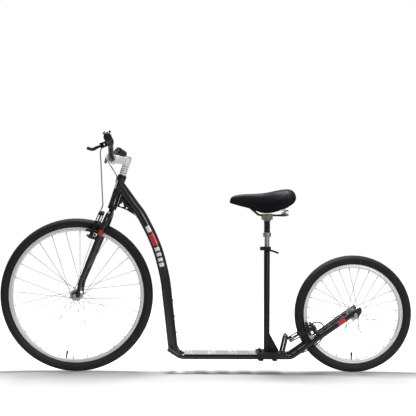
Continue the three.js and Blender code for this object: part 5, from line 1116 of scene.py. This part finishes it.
def spring_made(side):
    """A coil: its place is (R cos a, R sin a) over five turns of a, and its height blends an even rise with
    the smooth step 3s^2 - 2s^3 and stops at both ends, where the coil lies flat."""
    low, high = RAIL_Z + 2.3, float(base_height(344)) - 0.3
    turn = np.linspace(-0.5, 4.5, 220)
    rise = np.clip(turn / 4, 0, 1)
    z = low + 2.2 + (high - low - 4.4) * (rise * rise * (3 - 2 * rise) * 0.35 + rise * 0.65)
    angle = turn * 2 * math.pi
    path = np.stack([SPRING_X + 10 * np.cos(angle), side * SPRING_Y + 10 * np.sin(angle), z], 1)
    return skin(swept(path, 2.0, 14))


for name, side in SIDES:
    put(f"spring_coil_{name}", spring_made(side), bright_steel, "saddle", [f"saddle_spring_{name}"])


def wrapped_band(path, radius, start, end, middle, half_sweep):
    """A thin patch on a tube: part of its round, from start to end along its path, a fifth of a millimetre
    proud."""
    first, second = (vectors[start:end + 1, None, :] for vectors in across(path))
    angle = np.linspace(middle - half_sweep, middle + half_sweep, 22)
    turn = np.concatenate([angle, angle[::-1]])[None, :, None]
    lift = np.repeat([0.2, -0.5], 22)[None, :, None]
    return skin(path[start:end + 1, None, :] + (radius + lift) * circle(turn, first, second))


def facing(path, place):
    """The angle round the path at a place where its two square vectors point to the bike's left."""
    first, second = across(path)
    return math.atan2(-second[place, 1], -first[place, 1])


def banded(name, path, radius, low, high, material, body, half_sweep, turn=0.0, axis=2):
    """A plain band on a path between two heights, facing the bike's left and turned on by turn."""
    inside = np.flatnonzero((path[:, axis] >= low) & (path[:, axis] <= high))
    start, end = inside[0], inside[-1]
    middle = facing(path, (start + end) // 2) + turn
    made = wrapped_band(path, radius, start, end, middle, half_sweep)
    put(name, made, material, body, (), sharp=50)


def main_bands():
    """Plain bars down both sides of the main tube: one pale, one red and four pale ones."""
    path = evenly(main_path(), 1.0)
    bars = [(590, 616, white_band, 0.42), (534, 582, red_band, 0.6)]
    bars += [(510 - 22 * i, 526 - 22 * i, white_band, 0.5) for i in range(4)]
    for side, turn in (("left", 0.0), ("right", math.pi)):
        for i, (low, high, material, half_sweep) in enumerate(bars):
            banded(f"main_tube_band_{i}_{side}", path, MAIN_RADIUS, low, high, material, "frame", half_sweep,
                   turn)


def small_bands():
    """A red label on each fork leg and rear stay, and a pale strip down the front of the head tube."""
    for (name, side), turn in zip(SIDES, (0.0, math.pi)):
        leg = evenly(steered(evenly(fork_line(side)[0], 1.0)), 1.0)
        banded(f"fork_label_{name}", leg, LEG_RADIUS - 0.6, 575, 600, red_band, "steering", 0.75, turn)
        stay = evenly(rail_path(side), 1.0)
        banded(f"stay_label_{name}", stay, RAIL_RADIUS, 552, 582, red_band, "frame", 0.8, turn, 0)
    axis = evenly(np.array([HEAD + 78 * UP, HEAD + 116 * UP]), 1.0)
    banded("head_tube_strip", axis, 17.8, 0, 900, white_band, "frame", 0.45, -1.0)


main_bands()
small_bands()

FLOOR_GLOW, FLOOR_HALF = 0.02, 14.0


def plain_floor():
    """A pale floor that shows white to the camera and in reflections. It keeps the object's shadow near it
    and glows evenly further off, by its distance from the middle."""
    mesh = bpy.data.meshes.new("floor")
    corners = [(x * FLOOR_HALF, y * FLOOR_HALF, 0) for x, y in ((-1, -1), (1, -1), (1, 1), (-1, 1))]
    mesh.from_pydata(corners, [], [(0, 1, 2, 3)])
    floor = linked("floor", mesh)
    material = bpy.data.materials.new("pale_floor")
    material.use_nodes = True
    tree = material.node_tree
    tree.nodes.clear()
    out = tree.nodes.new("ShaderNodeOutputMaterial")
    matt = add(tree, "ShaderNodeBsdfDiffuse", Color=(0.47, 0.47, 0.47, 1))
    glow = add(tree, "ShaderNodeEmission", Color=(1, 1, 1, 1))
    place = add(tree, "ShaderNodeTexCoord")
    axes = add(tree, "ShaderNodeSeparateXYZ")
    tree.links.new(place.outputs["Object"], axes.inputs[0])
    ahead = maths(tree, "ADD", axes.outputs["Y"], 0.04)
    fade = maths(tree, "MAXIMUM", maths(tree, "MULTIPLY", ahead, -1.3), maths(tree, "MULTIPLY", ahead, 11))
    aside = maths(tree, "SUBTRACT", maths(tree, "ABSOLUTE", axes.outputs["X"]), 0.75)
    aside = maths(tree, "MAXIMUM", maths(tree, "MULTIPLY", aside, 1.5), 0)
    far = maths(tree, "POWER", maths(tree, "ADD", fade, aside, clamp=True), 1.5)
    rays = tree.nodes.new("ShaderNodeLightPath")
    seen = maths(tree, "MAXIMUM", rays.outputs["Is Camera Ray"], rays.outputs["Is Transmission Ray"])
    lit = maths(tree, "MULTIPLY", rays.outputs["Is Glossy Ray"], 0.1)
    strength = maths(tree, "ADD", FLOOR_GLOW, maths(tree, "MULTIPLY", far, 1 - FLOOR_GLOW))
    tree.links.new(maths(tree, "ADD", maths(tree, "MULTIPLY", seen, strength), lit), glow.inputs["Strength"])
    both = tree.nodes.new("ShaderNodeAddShader")
    tree.links.new(matt.outputs[0], both.inputs[0])
    tree.links.new(glow.outputs[0], both.inputs[1])
    tree.links.new(both.outputs[0], out.inputs["Surface"])
    mesh.materials.append(material)


def studio_world():
    """Soft, even light from all round, plain white to the camera and a dimmer white in reflections."""
    world = bpy.data.worlds.new("studio")
    bpy.context.scene.world = world
    world.use_nodes = True
    tree = world.node_tree
    background = tree.nodes["Background"]
    rays = tree.nodes.new("ShaderNodeLightPath")
    seen = maths(tree, "MAXIMUM", rays.outputs["Is Camera Ray"], rays.outputs["Is Transmission Ray"])
    lit = maths(tree, "MULTIPLY", rays.outputs["Is Glossy Ray"], 0.3)
    bright = maths(tree, "MAXIMUM", maths(tree, "MAXIMUM", seen, lit), 0.2)
    tree.links.new(bright, background.inputs["Strength"])
    background.inputs["Color"].default_value = (1, 1, 1, 1)


def soft_lamp(name, place, target, size, power):
    """A round lamp of a size in metres and a power in watts, turned to face its target."""
    data = bpy.data.lights.new(name, "AREA")
    data.shape, data.size, data.energy = "DISK", size, power
    lamp = linked(name, data)
    lamp.location = place
    lamp.rotation_euler = (Vector(target) - Vector(place)).to_track_quat("-Z", "Y").to_euler()


plain_floor()
studio_world()
soft_lamp("overhead", (0, 0.35, 3.6), (0, 0, 0.2), 1.3, 190)
soft_lamp("front_fill", (1.8, -3.2, 1.8), (0, 0, 0.5), 1.6, 40)
soft_lamp("back_fill", (-1.4, 3.0, 2.2), (0, 0, 0.5), 1.6, 25)

bpy.context.scene.view_settings.view_transform = "Standard"
